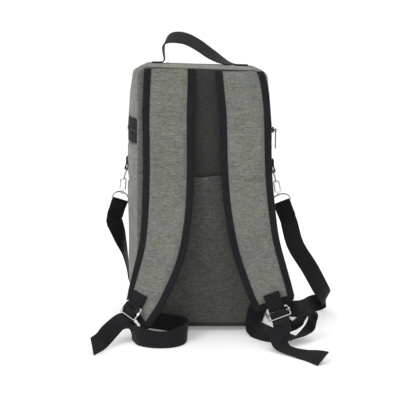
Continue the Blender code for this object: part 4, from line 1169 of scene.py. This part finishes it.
def box_of_stitches(vertices, faces, rows, first, last, width, rise):
    """A square of stitches with crossed diagonals, on webbing between two of its lengths."""
    lengths = web_lengths(rows)
    inset = 0.003

    def at(share_along, share_across):
        distance = first + inset + (last - first - 2 * inset) * share_along
        for k in range(len(rows) - 1):
            if distance <= lengths[k + 1] or k == len(rows) - 2:
                break
        share = min(1.0, max(0.0, (distance - lengths[k]) / (lengths[k + 1] - lengths[k])))
        a, b = Vector(rows[k][:3]), Vector(rows[k + 1][:3])
        across = Vector(rows[k][3:6]).lerp(Vector(rows[k + 1][3:6]), share).normalized()
        face = across.cross((b - a).normalized())
        spot = a.lerp(b, share) + across * (width / 2 - inset) * share_across
        return spot + face * rise, face * (1 if rise > 0 else -1)

    corners = ((0, -1), (1, -1), (1, 1), (0, 1), (0, -1), (1, 1))
    crosses = ((0, 1), (1, -1))
    for path in (corners, crosses):
        for a, b in zip(path, path[1:]):
            places = [at(a[0] + (b[0] - a[0]) * i / 10, a[1] + (b[1] - a[1]) * i / 10) for i in range(11)]
            sewn_row(vertices, faces, [p[0] for p in places], [p[1] for p in places], 0.0030, 0.0003)


# Where the handle runs: sideways as a share of the half width, depth as a share of the half depth,
# its height above the top as a share of its rise, and the direction across it
HANDLE_ROUTE = (
    RouteRow(-0.76, 0.02, 0.00, 0, 1, 0),
    RouteRow(-0.68, 0.02, 0.00, 0, 1, 0),
    RouteRow(-0.60, 0.02, 0.02, 0, 1, 0),
    RouteRow(-0.565, 0.01, 0.12, 0, 1, 0.02),
    RouteRow(-0.575, 0.00, 0.40, 0.05, 1, 0.04),
    RouteRow(-0.565, -0.03, 0.66, 0.10, 0.95, 0.20),
    RouteRow(-0.49, -0.07, 0.84, 0.05, 0.85, 0.45),
    RouteRow(-0.36, -0.09, 0.90, 0.0, 0.80, 0.60),
    RouteRow(-0.20, -0.10, 0.84, 0.05, 0.78, 0.62),
    RouteRow(-0.02, -0.09, 0.64, 0.10, 0.78, 0.62),
    RouteRow(0.14, -0.07, 0.40, 0.12, 0.80, 0.58),
    RouteRow(0.30, -0.03, 0.20, 0.10, 0.88, 0.42),
    RouteRow(0.44, 0.00, 0.07, 0.02, 0.97, 0.18),
    RouteRow(0.56, 0.02, 0.01, 0, 1, 0),
    RouteRow(0.66, 0.02, 0.00, 0, 1, 0),
    RouteRow(0.76, 0.02, 0.00, 0, 1, 0),
)


def top_surface(x):
    """The height of the bag's top at mid depth."""
    return Vector(gusset_point(x, BAG_HEIGHT, (0, 1), 0.5)).z


def make_handle():
    bed = WEB_THICKNESS / 2 + FIT_GAP
    keys = []
    for row in HANDLE_ROUTE:
        x = row.x * HALF_WIDTH
        z = top_surface(x) + bed + row.z * HANDLE_RISE
        keys.append((x, row.y * HALF_DEPTH, z, row.ax, row.ay, row.az))
    rows = webbing("grab_handle", smooth_chain(keys, 3), WEB_WIDTH, False)
    total = web_lengths(rows)[-1]
    vertices, faces = [], []
    rise = web_rise(rows, (0, 0, 1))
    for first in (0.0, total - 0.017):
        box_of_stitches(vertices, faces, rows, first, first + 0.017, WEB_WIDTH, rise)
    add_sewing("handle_stitches", vertices, faces, dark_thread)


def web_rise(rows, outward, at=0):
    """How far stitches lie from webbing's middle to be on its face towards a direction."""
    a, b = Vector(rows[at][:3]), Vector(rows[at + 1][:3])
    face = Vector(rows[at][3:6]).cross((b - a).normalized())
    return (WEB_THICKNESS / 2) * (1 if face.dot(Vector(outward)) > 0 else -1)


make_handle()

# The shoulder straps
# Foam pads in the grey cloth, sewn into the top seam. A dark ribbed tape is folded over their edges
# and round their lower ends, and held with a row of stitches.
STRAP_WIDTH = 0.078
STRAP_THICKNESS = 0.009
STRAP_STAND = 0.040
BINDING_WIDTH = 0.011
BINDING_CLOTH = 0.0008
FLANGE_THICKNESS = 0.003
PAD_COLUMNS = 30
PAD_RISE = 0.0075
PAD_STEP = 0.004
END_RADIUS = 0.0065

# Down each strap: height and sideways place as shares of the bag's, how far it stands off the bag,
# the direction across it towards +X, and its width and thickness as shares of the strap's
StrapRow = namedtuple("StrapRow", "height x stand ax ay az width thickness")
LEFT_STRAP = (
    StrapRow(1.000, -0.457, -0.105, 1, 0, 0, 0.97, 0.55),
    StrapRow(0.960, -0.462, -0.060, 1, 0, 0, 0.99, 0.95),
    StrapRow(0.832, -0.480, 0.04, 1, 0, 0, 1.00, 1.00),
    StrapRow(0.644, -0.480, 0.08, 1, -0.02, 0, 1.00, 1.00),
    StrapRow(0.502, -0.498, 0.15, 1, -0.08, -0.03, 1.00, 1.00),
    StrapRow(0.409, -0.531, 0.25, 0.97, -0.20, -0.12, 0.99, 1.00),
    StrapRow(0.320, -0.591, 0.38, 0.94, -0.30, -0.22, 0.97, 1.00),
    StrapRow(0.220, -0.726, 0.53, 0.84, -0.47, -0.28, 0.94, 1.00),
    StrapRow(0.146, -0.850, 0.62, 0.72, -0.58, -0.38, 0.89, 1.00),
    StrapRow(0.078, -0.985, 0.69, 0.48, -0.70, -0.50, 0.82, 0.90),
)
RIGHT_STRAP = (
    StrapRow(0.990, 0.590, -0.105, 1, 0, 0, 0.93, 0.55),
    StrapRow(0.950, 0.625, -0.060, 1, 0, 0.02, 0.98, 0.95),
    StrapRow(0.832, 0.679, 0.04, 1, 0, 0.02, 1.00, 1.00),
    StrapRow(0.644, 0.703, 0.08, 1, 0, 0.03, 1.00, 1.00),
    StrapRow(0.502, 0.750, 0.13, 1, 0, 0.11, 1.00, 1.00),
    StrapRow(0.359, 0.842, 0.22, 0.98, 0.02, 0.20, 0.97, 1.00),
    StrapRow(0.260, 0.958, 0.35, 0.96, 0.04, 0.28, 0.94, 1.00),
    StrapRow(0.178, 1.069, 0.48, 0.95, 0.05, 0.30, 0.90, 1.00),
    StrapRow(0.121, 1.155, 0.57, 0.95, 0.05, 0.31, 0.83, 0.90),
)
POCKET_FACE = -HALF_DEPTH - SEAM_GAP - 1.5 * POCKET_CLOTH

def strap_frames(rows, steps=2):
    """Down a strap: centre, across, outward and downward directions, half width, half thickness."""
    keys = []
    for row in rows:
        y = POCKET_FACE - STRAP_THICKNESS / 2 - row.stand * STRAP_STAND
        place = (row.x * HALF_WIDTH, y, row.height * BAG_HEIGHT)
        keys.append((*place, row.ax, row.ay, row.az, row.width, row.thickness))
    chain = smooth_chain(keys, steps)
    lengths = [0.0]
    for a, b in zip(chain, chain[1:]):
        lengths.append(lengths[-1] + (Vector(b[:3]) - Vector(a[:3])).length)
    total = lengths[-1]
    flange_start = total - BINDING_WIDTH - 0.0012
    stations = [s for s in lengths if s < flange_start - 0.008] + [flange_start - 0.005, flange_start, total]
    table = [(s, *row) for s, row in zip(lengths, chain)]
    rows_at = [[interpolate(table, s, k) for k in range(1, 9)] for s in stations]
    rows_at[-1][3:6] = rows_at[-2][3:6]
    points = [Vector(row[:3]) for row in rows_at]
    frames = []
    for i, row in enumerate(rows_at):
        low = min(i + 1, len(points) - 1)
        high = i if i == len(points) - 2 else max(i - 1, 0)
        tangent = (points[low] - points[high]).normalized()
        across = Vector(row[3:6]).normalized()
        face = across.cross(tangent).normalized()
        if face.y > 0:
            face = -face
        swell = row[7] * STRAP_THICKNESS / 2 if i < len(rows_at) - 2 else FLANGE_THICKNESS / 2
        frames.append((points[i], across, face, tangent, row[6] * STRAP_WIDTH / 2, swell))
    return frames

class StrapSurface:
    """A strap's middle surface: places by distance across it, down it and out of its face."""

    def __init__(self, frames):
        keys = []
        for centre, across, face, _, half_width, half_thickness in frames:
            keys.append((*centre, *across, *face, half_width, half_thickness))
        self.rows = refined(keys, PAD_STEP)
        self.lengths = web_lengths(self.rows)
        self.total = self.lengths[-1]

    def row(self, s):
        s = min(max(s, 0.0), self.total)
        for k in range(len(self.rows) - 1):
            if s <= self.lengths[k + 1]:
                break
        share = (s - self.lengths[k]) / (self.lengths[k + 1] - self.lengths[k])
        return [a + (b - a) * share for a, b in zip(self.rows[k], self.rows[k + 1])]

    def half(self, s):
        return self.row(s)[9]

    def at(self, u, s, n):
        row = self.row(s)
        across = Vector(row[3:6]).normalized()
        face = Vector(row[6:9]).normalized()
        return Vector(row[:3]) + across * u + face * n

    def face(self, s):
        return Vector(self.row(s)[6:9]).normalized()


def smooth_share(value):
    value = min(1.0, max(0.0, value))
    return value * value * (3 - 2 * value)


def make_pad(node, surface):
    """The padded cloth, thin under the binding and rounded up beside it, with soft dimples."""
    flange = FLANGE_THICKNESS / 2
    stations = [surface.total * i / 110 for i in range(110)] + [surface.total - 0.0015]
    sections = []
    for s in stations:
        row = surface.row(s)
        past = s - (surface.total - END_RADIUS)
        drop = END_RADIUS - math.sqrt(max(END_RADIUS**2 - past**2, 0.0)) if past > 0 else 0.0
        half = row[9] - 0.0008 - drop
        swell = max(row[10], flange)
        end = smooth_share((surface.total - BINDING_WIDTH - 0.001 - s) / PAD_RISE)
        top, bottom = [], []
        for j in range(PAD_COLUMNS + 1):
            u = half * math.sin(math.pi / 2 * (2 * j / PAD_COLUMNS - 1) * 0.96) / math.sin(math.pi / 2 * 0.96)
            inward = row[9] - BINDING_WIDTH - abs(u)
            rise = smooth_share(inward / PAD_RISE) ** 0.6 * end
            seed = 31.0 if "left" in node else 37.0
            soft = noise.noise(Vector((u * 30, s * 16, seed))) * 0.0009
            soft += noise.noise(Vector((u * 70, s * 52, seed + 3))) * 0.0005
            height = flange + (swell * 1.04 - flange) * rise + soft * rise
            top.append(surface.at(u, s, height))
            bottom.append(surface.at(u, s, -(flange + (swell - flange) * rise)))
        sections.append(top + bottom[::-1])
    count = len(sections[0])
    faces = []
    for i in range(len(sections) - 1):
        for j in range(count):
            a, b = i * count + j, i * count + (j + 1) % count
            faces.append((a, b, b + count, a + count))
    last = (len(sections) - 1) * count
    faces.append(tuple(reversed(range(count))))
    faces.append(tuple(range(last, last + count)))
    mesh = mesh_of([p for section in sections for p in section], faces)
    fix_normals(mesh)
    piece = add_piece(f"{node}_pad", mesh, strap_cloth)
    let_swell(piece, pad_edge(mesh, surface), 2.5, 0.0016)
    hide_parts(node)
    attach(piece, "bag")


def pad_edge(mesh, surface):
    """The points of a pad's mesh that its binding and its end seams hold."""
    held = []
    for vertex in mesh.vertices:
        distances = [(vertex.co - Vector(row[:3])).length for row in surface.rows]
        k = distances.index(min(distances))
        row = surface.rows[k]
        u = abs((vertex.co - Vector(row[:3])).dot(Vector(row[3:6]).normalized()))
        end = min(surface.lengths[k], surface.total - BINDING_WIDTH - surface.lengths[k])
        if u > row[9] - BINDING_WIDTH - 0.0008 or end < 0.004:
            held.append(vertex.index)
    return held


def fix_normals(mesh):
    """Welds a mesh's doubled points and turns its faces outward."""
    shape = bmesh.new()
    shape.from_mesh(mesh)
    bmesh.ops.remove_doubles(shape, verts=shape.verts, dist=2e-6)
    bmesh.ops.dissolve_degenerate(shape, dist=1e-6, edges=shape.edges)
    bmesh.ops.recalc_face_normals(shape, faces=shape.faces)
    shape.to_mesh(mesh)
    shape.free()
    mesh.shade_smooth()


# The folded tape's section in millimetres: inward from the strap's edge, and out of its face
TapeRow = namedtuple("TapeRow", "inward out")
TAPE_OUTLINE = (
    TapeRow(9.9, 2.0), TapeRow(9.8, 2.45), TapeRow(9.2, 2.7), TapeRow(8.0, 2.55), TapeRow(5.6, 2.75),
    TapeRow(3.0, 2.75), TapeRow(1.0, 2.5), TapeRow(-0.3, 2.0), TapeRow(-1.0, 1.1), TapeRow(-1.2, 0.0),
)


def binding_outline():
    """The tape's closed outline: outside from lip to lip, then back inside."""
    outer = [(row.inward / 1000, row.out / 1000) for row in TAPE_OUTLINE]
    outer += [(d, -n) for d, n in reversed(outer[:-1])]
    inner = [(0.0098, -0.0018), (0.004, -0.0018), (-0.0002, -0.0014), (-0.0004, 0.0)]
    inner += [(d, -n) for d, n in reversed(inner[:-1])]
    return outer + inner


def edge_path(surface):
    """Down one edge, round the end and up the other: side, distance down it, turn round a corner."""
    straight = surface.total - END_RADIUS
    downs = [straight * i / 120 for i in range(121)]
    path = [("side", -1, s) for s in downs]
    path += [("corner", -1, a) for a in (15, 30, 45, 60, 75)]
    path += [("end", share, 0) for share in (-1, -0.8, -0.6, -0.4, -0.2, 0, 0.2, 0.4, 0.6, 0.8, 1)]
    path += [("corner", 1, a) for a in (75, 60, 45, 30, 15)]
    return path + [("side", 1, s) for s in reversed(downs)]


def edge_place(surface, station, inward):
    """The across and down distances of a point inward from the strap's edge."""
    kind, side, value = station
    end = surface.total
    half_end = surface.half(end)
    if kind == "side":
        s = min(value, end - max(inward, 0.0))
        return side * (surface.half(s) - inward), s
    if kind == "end":
        limit = half_end - max(inward, END_RADIUS)
        return side * limit, end - inward
    turn = math.radians(value)
    reach = END_RADIUS - inward
    if reach <= 0:
        return side * (half_end - inward), end - inward
    centre = half_end - END_RADIUS
    return side * (centre + reach * math.cos(turn)), end - END_RADIUS + reach * math.sin(turn)


def make_binding(node, surface):
    outline = binding_outline()
    count = len(outline)
    path = edge_path(surface)
    vertices = []
    for station in path:
        for inward, out in outline:
            u, s = edge_place(surface, station, inward)
            spot = surface.at(u, s, out)
            if s > surface.total:
                row = surface.row(surface.total)
                down = Vector(row[3:6]).cross(Vector(row[6:9])).normalized()
                if down.z > 0:
                    down = -down
                spot += down * (s - surface.total)
            vertices.append(spot)
    faces = []
    for i in range(len(path) - 1):
        for j in range(count):
            a, b = i * count + j, i * count + (j + 1) % count
            faces.append((a, b, b + count, a + count))
    last = (len(path) - 1) * count
    faces.append(tuple(reversed(range(count))))
    faces.append(tuple(range(last, last + count)))
    mesh = mesh_of(vertices, faces)
    fix_normals(mesh)
    piece = add_piece(f"{node}_tape", mesh, binding_finish)
    mesh.set_sharp_from_angle(angle=math.radians(55))
    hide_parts(node)
    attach(piece, "bag")
    length = 2 * surface.total + 2 * surface.half(surface.total)


def make_strap_sewing(side, surface):
    """The binding's stitches on both faces."""
    vertices, faces = [], []
    for out in (1, -1):
        line, normals = [], []
        for station in edge_path(surface):
            u, s = edge_place(surface, station, 0.0080)
            line.append(surface.at(u, s, out * 0.00262))
            normals.append(surface.face(s) * out)
        sewn_row(vertices, faces, line, normals, 0.0040, 0.00030)
    add_sewing(f"strap_stitches_{side}", vertices, faces, dark_thread)


binding_finish = woven_tape("binding tape", (0.008, 0.008, 0.0098), 0.0012, 0.78)
strap_rows = {"left": LEFT_STRAP, "right": RIGHT_STRAP}
strap_solid = {side: strap_frames(rows) for side, rows in strap_rows.items()}
for side, frames in strap_solid.items():
    surface = StrapSurface(frames)
    make_pad(f"shoulder_strap_{side}", surface)
    make_binding(f"strap_binding_{side}", surface)
    make_strap_sewing(side, surface)

# The buckles and their tabs
# A wire frame of nickelled steel with a bar that slides in it, held to each strap's end by a folded
# tab of webbing that is sewn down on the strap's face.
WIRE_RADIUS = 0.0014
BUCKLE_LENGTH = 0.020
def frame_at(frames, back):
    """The strap's centre, across and outward directions at a distance before its end."""
    gone = 0.0
    for here, above in zip(frames[::-1], frames[-2::-1]):
        step = (here[0] - above[0]).length
        if gone + step >= back:
            share = (back - gone) / step
            return [here[k].lerp(above[k], share) for k in range(3)]
        gone += step
    return list(frames[0][:3])

class Frame:
    """A place with its own directions: along, up, and out of their plane."""

    def __init__(self, origin, along, up):
        self.origin = Vector(origin)
        self.along = Vector(along).normalized()
        up = Vector(up)
        self.up = (up - up.dot(self.along) * self.along).normalized()
        self.out = self.along.cross(self.up)

    def at(self, a, u, n=0.0):
        return self.origin + self.along * a + self.up * u + self.out * n

BAR_WRAP = WIRE_RADIUS + FIT_GAP + WEB_THICKNESS / 2
HALF_BUCKLE = BUCKLE_LENGTH / 2
LAYER = WEB_THICKNESS + FIT_GAP
SLIDE_UP = 0.0012

# Where each buckle sits by its strap's end: how far its top bar is beyond the end, its sideways shift,
# how far it stands off the face, and how many degrees it is tipped
BuckleRow = namedtuple("BuckleRow", "reach shift stand pitch")
BUCKLES = {
    "left": BuckleRow(-0.0170, -0.0070, 0.0092, 17),
    "right": BuckleRow(0.0042, 0.0, 0.0076, 52),
}


def buckle_place(side, frames):
    """The buckle's frame, its along direction the same as the strap's across."""
    row = BUCKLES[side]
    centre, across, face, tangent, _, _ = frames[-1]
    along = (across - across.dot(tangent) * tangent).normalized()
    out = -tangent.cross(along)
    sign = 1 if out.dot(face) > 0 else -1
    pitch = math.radians(row.pitch)
    up = -tangent * math.cos(pitch) - out * sign * math.sin(pitch)
    if row.reach < 0:
        centre, across, face = frame_at(frames, -row.reach)
        top = centre
    else:
        top = centre + tangent * row.reach
    place = Frame(top + across * row.shift + face * row.stand, along, up)
    if place.out.dot(face) < 0:
        place.out = -place.out
    place.origin = place.at(0, -HALF_BUCKLE)
    return place



def nickel_finish():
    """Polished nickel plate with fine handling marks."""
    finish = Finish("nickel", 0.2, 1.0)
    smear = finish.noise((130.0, 130.0, 130.0), 3.0)
    scratch = finish.noise((1600.0, 240.0, 900.0), 2.0)
    finish.set(finish.shader, {
        "Base Color": finish.mix(smear, (0.66, 0.65, 0.62), (0.80, 0.79, 0.77)),
        "Roughness": finish.span(smear * 0.6 + scratch * 0.4, 0.3, 0.7, 0.14, 0.3),
    })
    finish.bump(scratch, 0.00008, 0.3)
    return finish


nickel = nickel_finish()


def make_tab(side, place, frames):
    """The tab that holds the buckle: both layers sewn to the strap's face, folded round the top bar."""
    row = BUCKLES[side]
    base = STRAP_THICKNESS / 2 + FIT_GAP + WEB_THICKNESS / 2 + 0.0003
    back = max(0.0, -row.reach)
    bar = place.at(0, HALF_BUCKLE)
    near, far = frame_at(frames, back), frame_at(frames, back + 0.010)
    face, upward = near[2], (far[0] - near[0]).normalized()
    over, under = [], []
    for step in (0.022, 0.013, 0.005):
        centre, across, outward = frame_at(frames, back + step)
        seat = centre + across * row.shift + outward * base
        over.append((*(seat + outward * (LAYER + 0.0007)), *across))
        under.append((*seat, *across))
    turn = [
        (*(bar + BAR_WRAP * (math.sin(a) * upward + math.cos(a) * face)), *place.along)
        for a in (math.radians(15 - 205 * i / 7) for i in range(8))
    ]
    rows = webbing(f"buckle_tab_{side}", over + turn + under[::-1], WEB_WIDTH * 0.86,
                   False)
    vertices, faces = [], []
    box_of_stitches(vertices, faces, rows, 0.0, 0.016, WEB_WIDTH * 0.86, web_rise(rows, face))
    add_sewing(f"tab_stitches_{side}", vertices, faces, dark_thread)


buckle_places = {side: buckle_place(side, frames) for side, frames in strap_solid.items()}
for side, place in buckle_places.items():
    make_tab(side, place, strap_solid[side])
    dress_node(f"buckle_frame_{side}", nickel)
    dress_node(f"buckle_bar_{side}", nickel)

# The adjusting webs
# Webbing sewn in at the bag's foot, which loops forward, runs up behind the buckle and over its bar,
# and ends in a cut tail. The left one lies in a low loop, the right one in a wide bow on the floor.
# The stretches of the strap webbing beyond its buckle, as shares of the bag's half width, half depth
# and height, and the direction across it
LEFT_TAIL = (
    RouteRow(-1.265, -1.65, 0.069, 0.65, -0.56, -0.50),
    RouteRow(-1.370, -1.84, 0.050, 0.58, -0.42, -0.70),
    RouteRow(-1.460, -2.12, 0.037, 0.36, -0.25, -0.90),
    RouteRow(-1.560, -2.40, 0.036, 0.16, -0.10, -0.98),
)
RIGHT_TAIL = (
    RouteRow(1.175, -2.01, 0.038, 0.98, 0.15, 0.00),
    RouteRow(1.205, -2.12, 0.018, 0.92, 0.36, -0.03),
    RouteRow(1.300, -2.23, 0.010, 0.75, 0.65, 0.05),
    RouteRow(1.450, -2.39, 0.010, 0.60, 0.70, 0.15),
    RouteRow(1.600, -2.58, 0.012, 0.50, 0.72, 0.35),
    RouteRow(1.740, -2.84, 0.014, 0.42, 0.70, 0.55),
)
LEFT_LOOP = (
    RouteRow(-0.930, -1.036, 0.050, 0, 0, 1),
    RouteRow(-0.700, -1.046, 0.044, 0, 0, 1),
    RouteRow(-0.420, -1.110, 0.038, 0, 0.05, 1),
    RouteRow(-0.240, -1.220, 0.037, 0.05, 0.05, 1),
    RouteRow(-0.190, -1.430, 0.034, 0.10, 0.25, 0.95),
    RouteRow(-0.250, -1.690, 0.030, 0.05, 0.50, 0.85),
    RouteRow(-0.420, -1.870, 0.026, 0, 0.62, 0.76),
    RouteRow(-0.660, -1.900, 0.026, -0.05, 0.62, 0.76),
    RouteRow(-0.880, -1.800, 0.027, -0.14, 0.56, 0.80),
    RouteRow(-1.010, -1.610, 0.034, -0.40, 0.57, 0.70),
    RouteRow(-1.095, -1.450, 0.048, -0.62, 0.62, 0.42),
)
RIGHT_LOOP = (
    RouteRow(0.930, -1.068, 0.112, 0.9, 0.02, 0.43),
    RouteRow(0.860, -1.083, 0.070, 0.9, -0.02, 0.43),
    RouteRow(0.820, -1.180, 0.036, 0.80, -0.30, 0.50),
    RouteRow(0.870, -1.350, 0.016, 0.66, -0.45, 0.50),
    RouteRow(1.000, -1.620, 0.012, 0.30, -0.26, 0.88),
    RouteRow(1.215, -1.770, 0.016, 0.05, -0.50, 0.80),
    RouteRow(1.450, -1.700, 0.018, 0.25, -0.85, 0.40),
    RouteRow(1.640, -1.500, 0.036, 0.45, -0.88, 0.10),
    RouteRow(1.710, -1.470, 0.066, 0.35, -0.92, 0.10),
    RouteRow(1.680, -1.520, 0.098, 0.20, -0.85, 0.50),
)
# Close to a buckle, in half lengths of it: along, up and out, and the direction across in the same
BuckleStep = namedtuple("BuckleStep", "along up out across_along across_up across_out")
LEFT_DROP = (BuckleStep(-0.10, -1.85, 0.30, 1, 0, 0),)
RIGHT_LEAD = (
    BuckleStep(3.30, -1.85, -0.95, 0.15, -0.25, 0.96),
    BuckleStep(1.90, -1.95, -1.70, 0.40, -0.10, 0.90),
    BuckleStep(0.75, -2.05, -1.70, 0.88, 0, 0.45),
)
RIGHT_DROP = (
    BuckleStep(-0.10, -2.20, 0.25, 1, 0, 0),
    BuckleStep(-0.30, -3.10, 0.00, 1, 0, 0),
)
LOOP_SIGN = {"left": -1, "right": 1}
BUCKLE_ROUTES = {
    "left": (LEFT_LOOP, (), LEFT_DROP, LEFT_TAIL),
    "right": (RIGHT_LOOP, RIGHT_LEAD, RIGHT_DROP, RIGHT_TAIL),
}


def routed(rows, sign=1):
    """A route's rows as places and across directions."""
    return [
        (row.x * HALF_WIDTH, row.y * HALF_DEPTH, row.z * BAG_HEIGHT, row.ax * sign, row.ay * sign, row.az * sign)
        for row in rows
    ]



def make_adjuster(side, place):
    loop, lead, drop, tail = BUCKLE_ROUTES[side]
    a = tuple(place.along)

    def near(rows):
        made = []
        for row in rows:
            across = (
                place.along * row.across_along + place.up * row.across_up + place.out * row.across_out
            ).normalized()
            spot = place.at(row.along * HALF_BUCKLE, row.up * HALF_BUCKLE, row.out * HALF_BUCKLE)
            made.append((*spot, *across))
        return made

    behind = WIRE_RADIUS + FIT_GAP + WEB_THICKNESS / 2
    over = [
        (*place.at(0, -HALF_BUCKLE - 0.004, -behind - LAYER - 0.0030), *a),
        (*place.at(0, -HALF_BUCKLE + 0.001, -behind - LAYER - 0.0014), *a),
        (*place.at(0, -HALF_BUCKLE * 0.4, -behind - 0.0012), *a),
    ]
    for i in range(7):
        angle = math.radians(-95 + 190 * i / 6)
        over.append((*place.at(0, SLIDE_UP + BAR_WRAP * math.cos(angle), BAR_WRAP * math.sin(angle)), *a))
    over += [
        (*place.at(0, -HALF_BUCKLE * 0.45, 0.0008), *a),
        (*place.at(0, -HALF_BUCKLE + 0.0015, -behind + 0.0003), *a),
        (*place.at(0, -HALF_BUCKLE - 0.0025, -behind + 0.0002), *a),
    ]
    before = smooth_chain(routed(loop, LOOP_SIGN[side]) + near(lead) + over[:2], 3)
    after = smooth_chain(over[-2:] + near(drop) + routed(tail), 3)
    webbing(f"adjuster_web_{side}", before[:-1] + over[1:-2] + after, WEB_WIDTH * 0.93)


for side, place in buckle_places.items():
    make_adjuster(side, place)

# The side hardware and the carrying strap
# A folded tab on each side holds a wire ring, from which a snap hook with a sprung lever hangs. The
# long strap of webbing is sewn round a wire D at each hook's eye and lies round the bag's front.
SIDE_TAB_HEIGHT = 0.254
RING_DROP = 0.021
DEE_DROP = 0.015
HOOK_ROD = 0.0015
HOOK_HALF_WIDTH = 0.0044
HOOK_HEIGHT = 0.024
GATE_RADIUS = 0.0011
PIN_RADIUS = 0.0006
def side_surface(way, z, share=0.5):
    return Vector(gusset_point(way * HALF_WIDTH, z, (way, 0), share))


# Each side's hardware: how far its ring hangs outward, its hook's lean as a slope, and the turn about
# the upright and the roll in degrees of the carrying strap's loop
SideRow = namedtuple("SideRow", "way ring_out hook_lean yaw roll")
SIDES = {
    "left": SideRow(-1, 0.0066, 0.09, -38, 20),
    "right": SideRow(1, 0.0062, 0.18, -22, 24),
}


def side_layout(side):
    """The places of one side's ring bar, ring foot, hook eye and carrying loop."""
    row = SIDES[side]
    surface = side_surface(row.way, SIDE_TAB_HEIGHT)
    bar = surface + Vector((row.way * (FIT_GAP + WEB_THICKNESS / 2 + BAR_WRAP), 0, 0))
    ring = Frame(bar, (0, 1, 0), (row.way * row.ring_out, 0, -RING_DROP))
    foot = ring.at(0, RING_DROP)
    lean = Vector((-row.way * row.hook_lean, 0, 1)).normalized()
    top = foot + lean * (WIRE_RADIUS + FIT_GAP + HOOK_ROD)
    eye = top - lean * HOOK_HEIGHT
    hook = Frame(eye, (row.way * lean.z, 0, -row.way * lean.x), lean)
    yaw, roll = math.radians(row.yaw), math.radians(row.roll)
    along = Vector((row.way * math.cos(yaw) * math.cos(roll), math.sin(yaw) * math.cos(roll), math.sin(roll)))
    dee = Frame(eye, along, (0, 0, 1))
    dee.origin = dee.at(0, -DEE_DROP - EYE_HANG)
    return ring, foot, hook, dee


EYE_RADIUS = 0.0031
EYE_WIRE = 0.0011
EYE_HANG = EYE_RADIUS - EYE_WIRE - WIRE_RADIUS - FIT_GAP
DEE_HALF = WEB_WIDTH / 2 + WIRE_RADIUS + 0.0008



def make_side_tab(side, ring):
    way = SIDES[side].way
    bar = ring.origin
    chain = []
    for rise in (0.019, 0.010):
        at = side_surface(way, bar.z + rise)
        chain.append((at.x + way * (FIT_GAP + WEB_THICKNESS / 2 + LAYER + 0.0004), 0, bar.z + rise, 0, 1, 0))
    for i in range(8):
        angle = math.radians(10 - 200 * i / 7)
        chain.append(
            (bar.x + way * BAR_WRAP * math.cos(angle), 0, bar.z + BAR_WRAP * math.sin(angle), 0, 1, 0)
        )
    for rise in (0.010, 0.019):
        at = side_surface(way, bar.z + rise)
        chain.append((at.x + way * (FIT_GAP + WEB_THICKNESS / 2 + 0.0002), 0, bar.z + rise, 0, 1, 0))
    rows = webbing(f"side_tab_{side}", chain, TAB_WIDTH, False)
    vertices, faces = [], []
    box_of_stitches(vertices, faces, rows, 0.0, 0.013, TAB_WIDTH, web_rise(rows, (way, 0, 0)))
    add_sewing(f"side_tab_stitches_{side}", vertices, faces, dark_thread)


CARRY_ROUTE = (
    RouteRow(1.570, 0.05, 0.290, 0.90, -0.05, 0.42),
    RouteRow(1.810, 0.10, 0.195, 0.88, 0.05, 0.45),
    RouteRow(2.000, 0.16, 0.110, 0.80, 0.20, 0.52),
    RouteRow(2.110, 0.26, 0.060, 0.55, 0.45, 0.68),
    RouteRow(2.080, 0.42, 0.034, 0.20, 0.35, 0.90),
    RouteRow(1.900, 0.30, 0.030, -0.05, 0.55, 0.82),
    RouteRow(1.740, 0.00, 0.032, -0.10, 0.40, 0.90),
    RouteRow(1.560, -0.16, 0.038, 0, 0, 1),
    RouteRow(1.390, -0.04, 0.038, 0, 0, 1),
    RouteRow(1.330, 0.35, 0.038, 0, 0, 1),
    RouteRow(1.330, 0.90, 0.038, 0, 0, 1),
    RouteRow(1.190, 1.32, 0.038, 0, 0, 1),
    RouteRow(0.700, 1.45, 0.038, 0, 0, 1),
    RouteRow(0.000, 1.47, 0.038, 0, 0, 1),
    RouteRow(-0.660, 1.45, 0.040, 0, 0, 1),
    RouteRow(-1.060, 1.32, 0.060, -0.05, 0.10, 0.95),
    RouteRow(-1.215, 1.00, 0.115, -0.05, 0.45, 0.85),
    RouteRow(-1.240, 0.72, 0.185, 0.02, 0.80, 0.55),
    RouteRow(-1.265, 0.40, 0.260, 0.20, 0.92, 0.20),
    RouteRow(-1.320, 0.14, 0.325, 0.50, 0.80, -0.15),
)


def loop_end(dee, way):
    """The carrying strap's end: sewn back on itself after it has gone round the loop's bar."""
    a = tuple(dee.along * way)
    tail = [(*dee.at(0, -down, BAR_WRAP - LAYER - 0.0012), *a) for down in (0.026, 0.014)]
    turn = [
        (*dee.at(0, BAR_WRAP * math.cos(t), BAR_WRAP * math.sin(t)), *a)
        for t in (math.radians(-75 + 165 * i / 6) for i in range(7))
    ]
    body = [(*dee.at(0, -down, BAR_WRAP + 0.0004), *a) for down in (0.014, 0.032)]
    return tail + turn + body


def make_carrying_strap(left, right):
    """The carrying strap, with each end turned back on itself round its loop's bar."""
    start = loop_end(right, 1)
    finish = loop_end(left, -1)[::-1]
    middle = smooth_chain([start[-1]] + routed(CARRY_ROUTE) + [finish[0]], 3)
    rows = webbing("carrying_strap", start[:-1] + middle + finish[1:], WEB_WIDTH * 0.97)
    return rows


dees = {}
for side in SIDES:
    ring, _, _, dee = side_layout(side)
    make_side_tab(side, ring)
    dees[side] = dee
    for node in ("side_ring", "snap_hook", "hook_gate", "strap_loop"):
        dress_node(f"{node}_{side}", nickel)
make_carrying_strap(dees["left"], dees["right"])
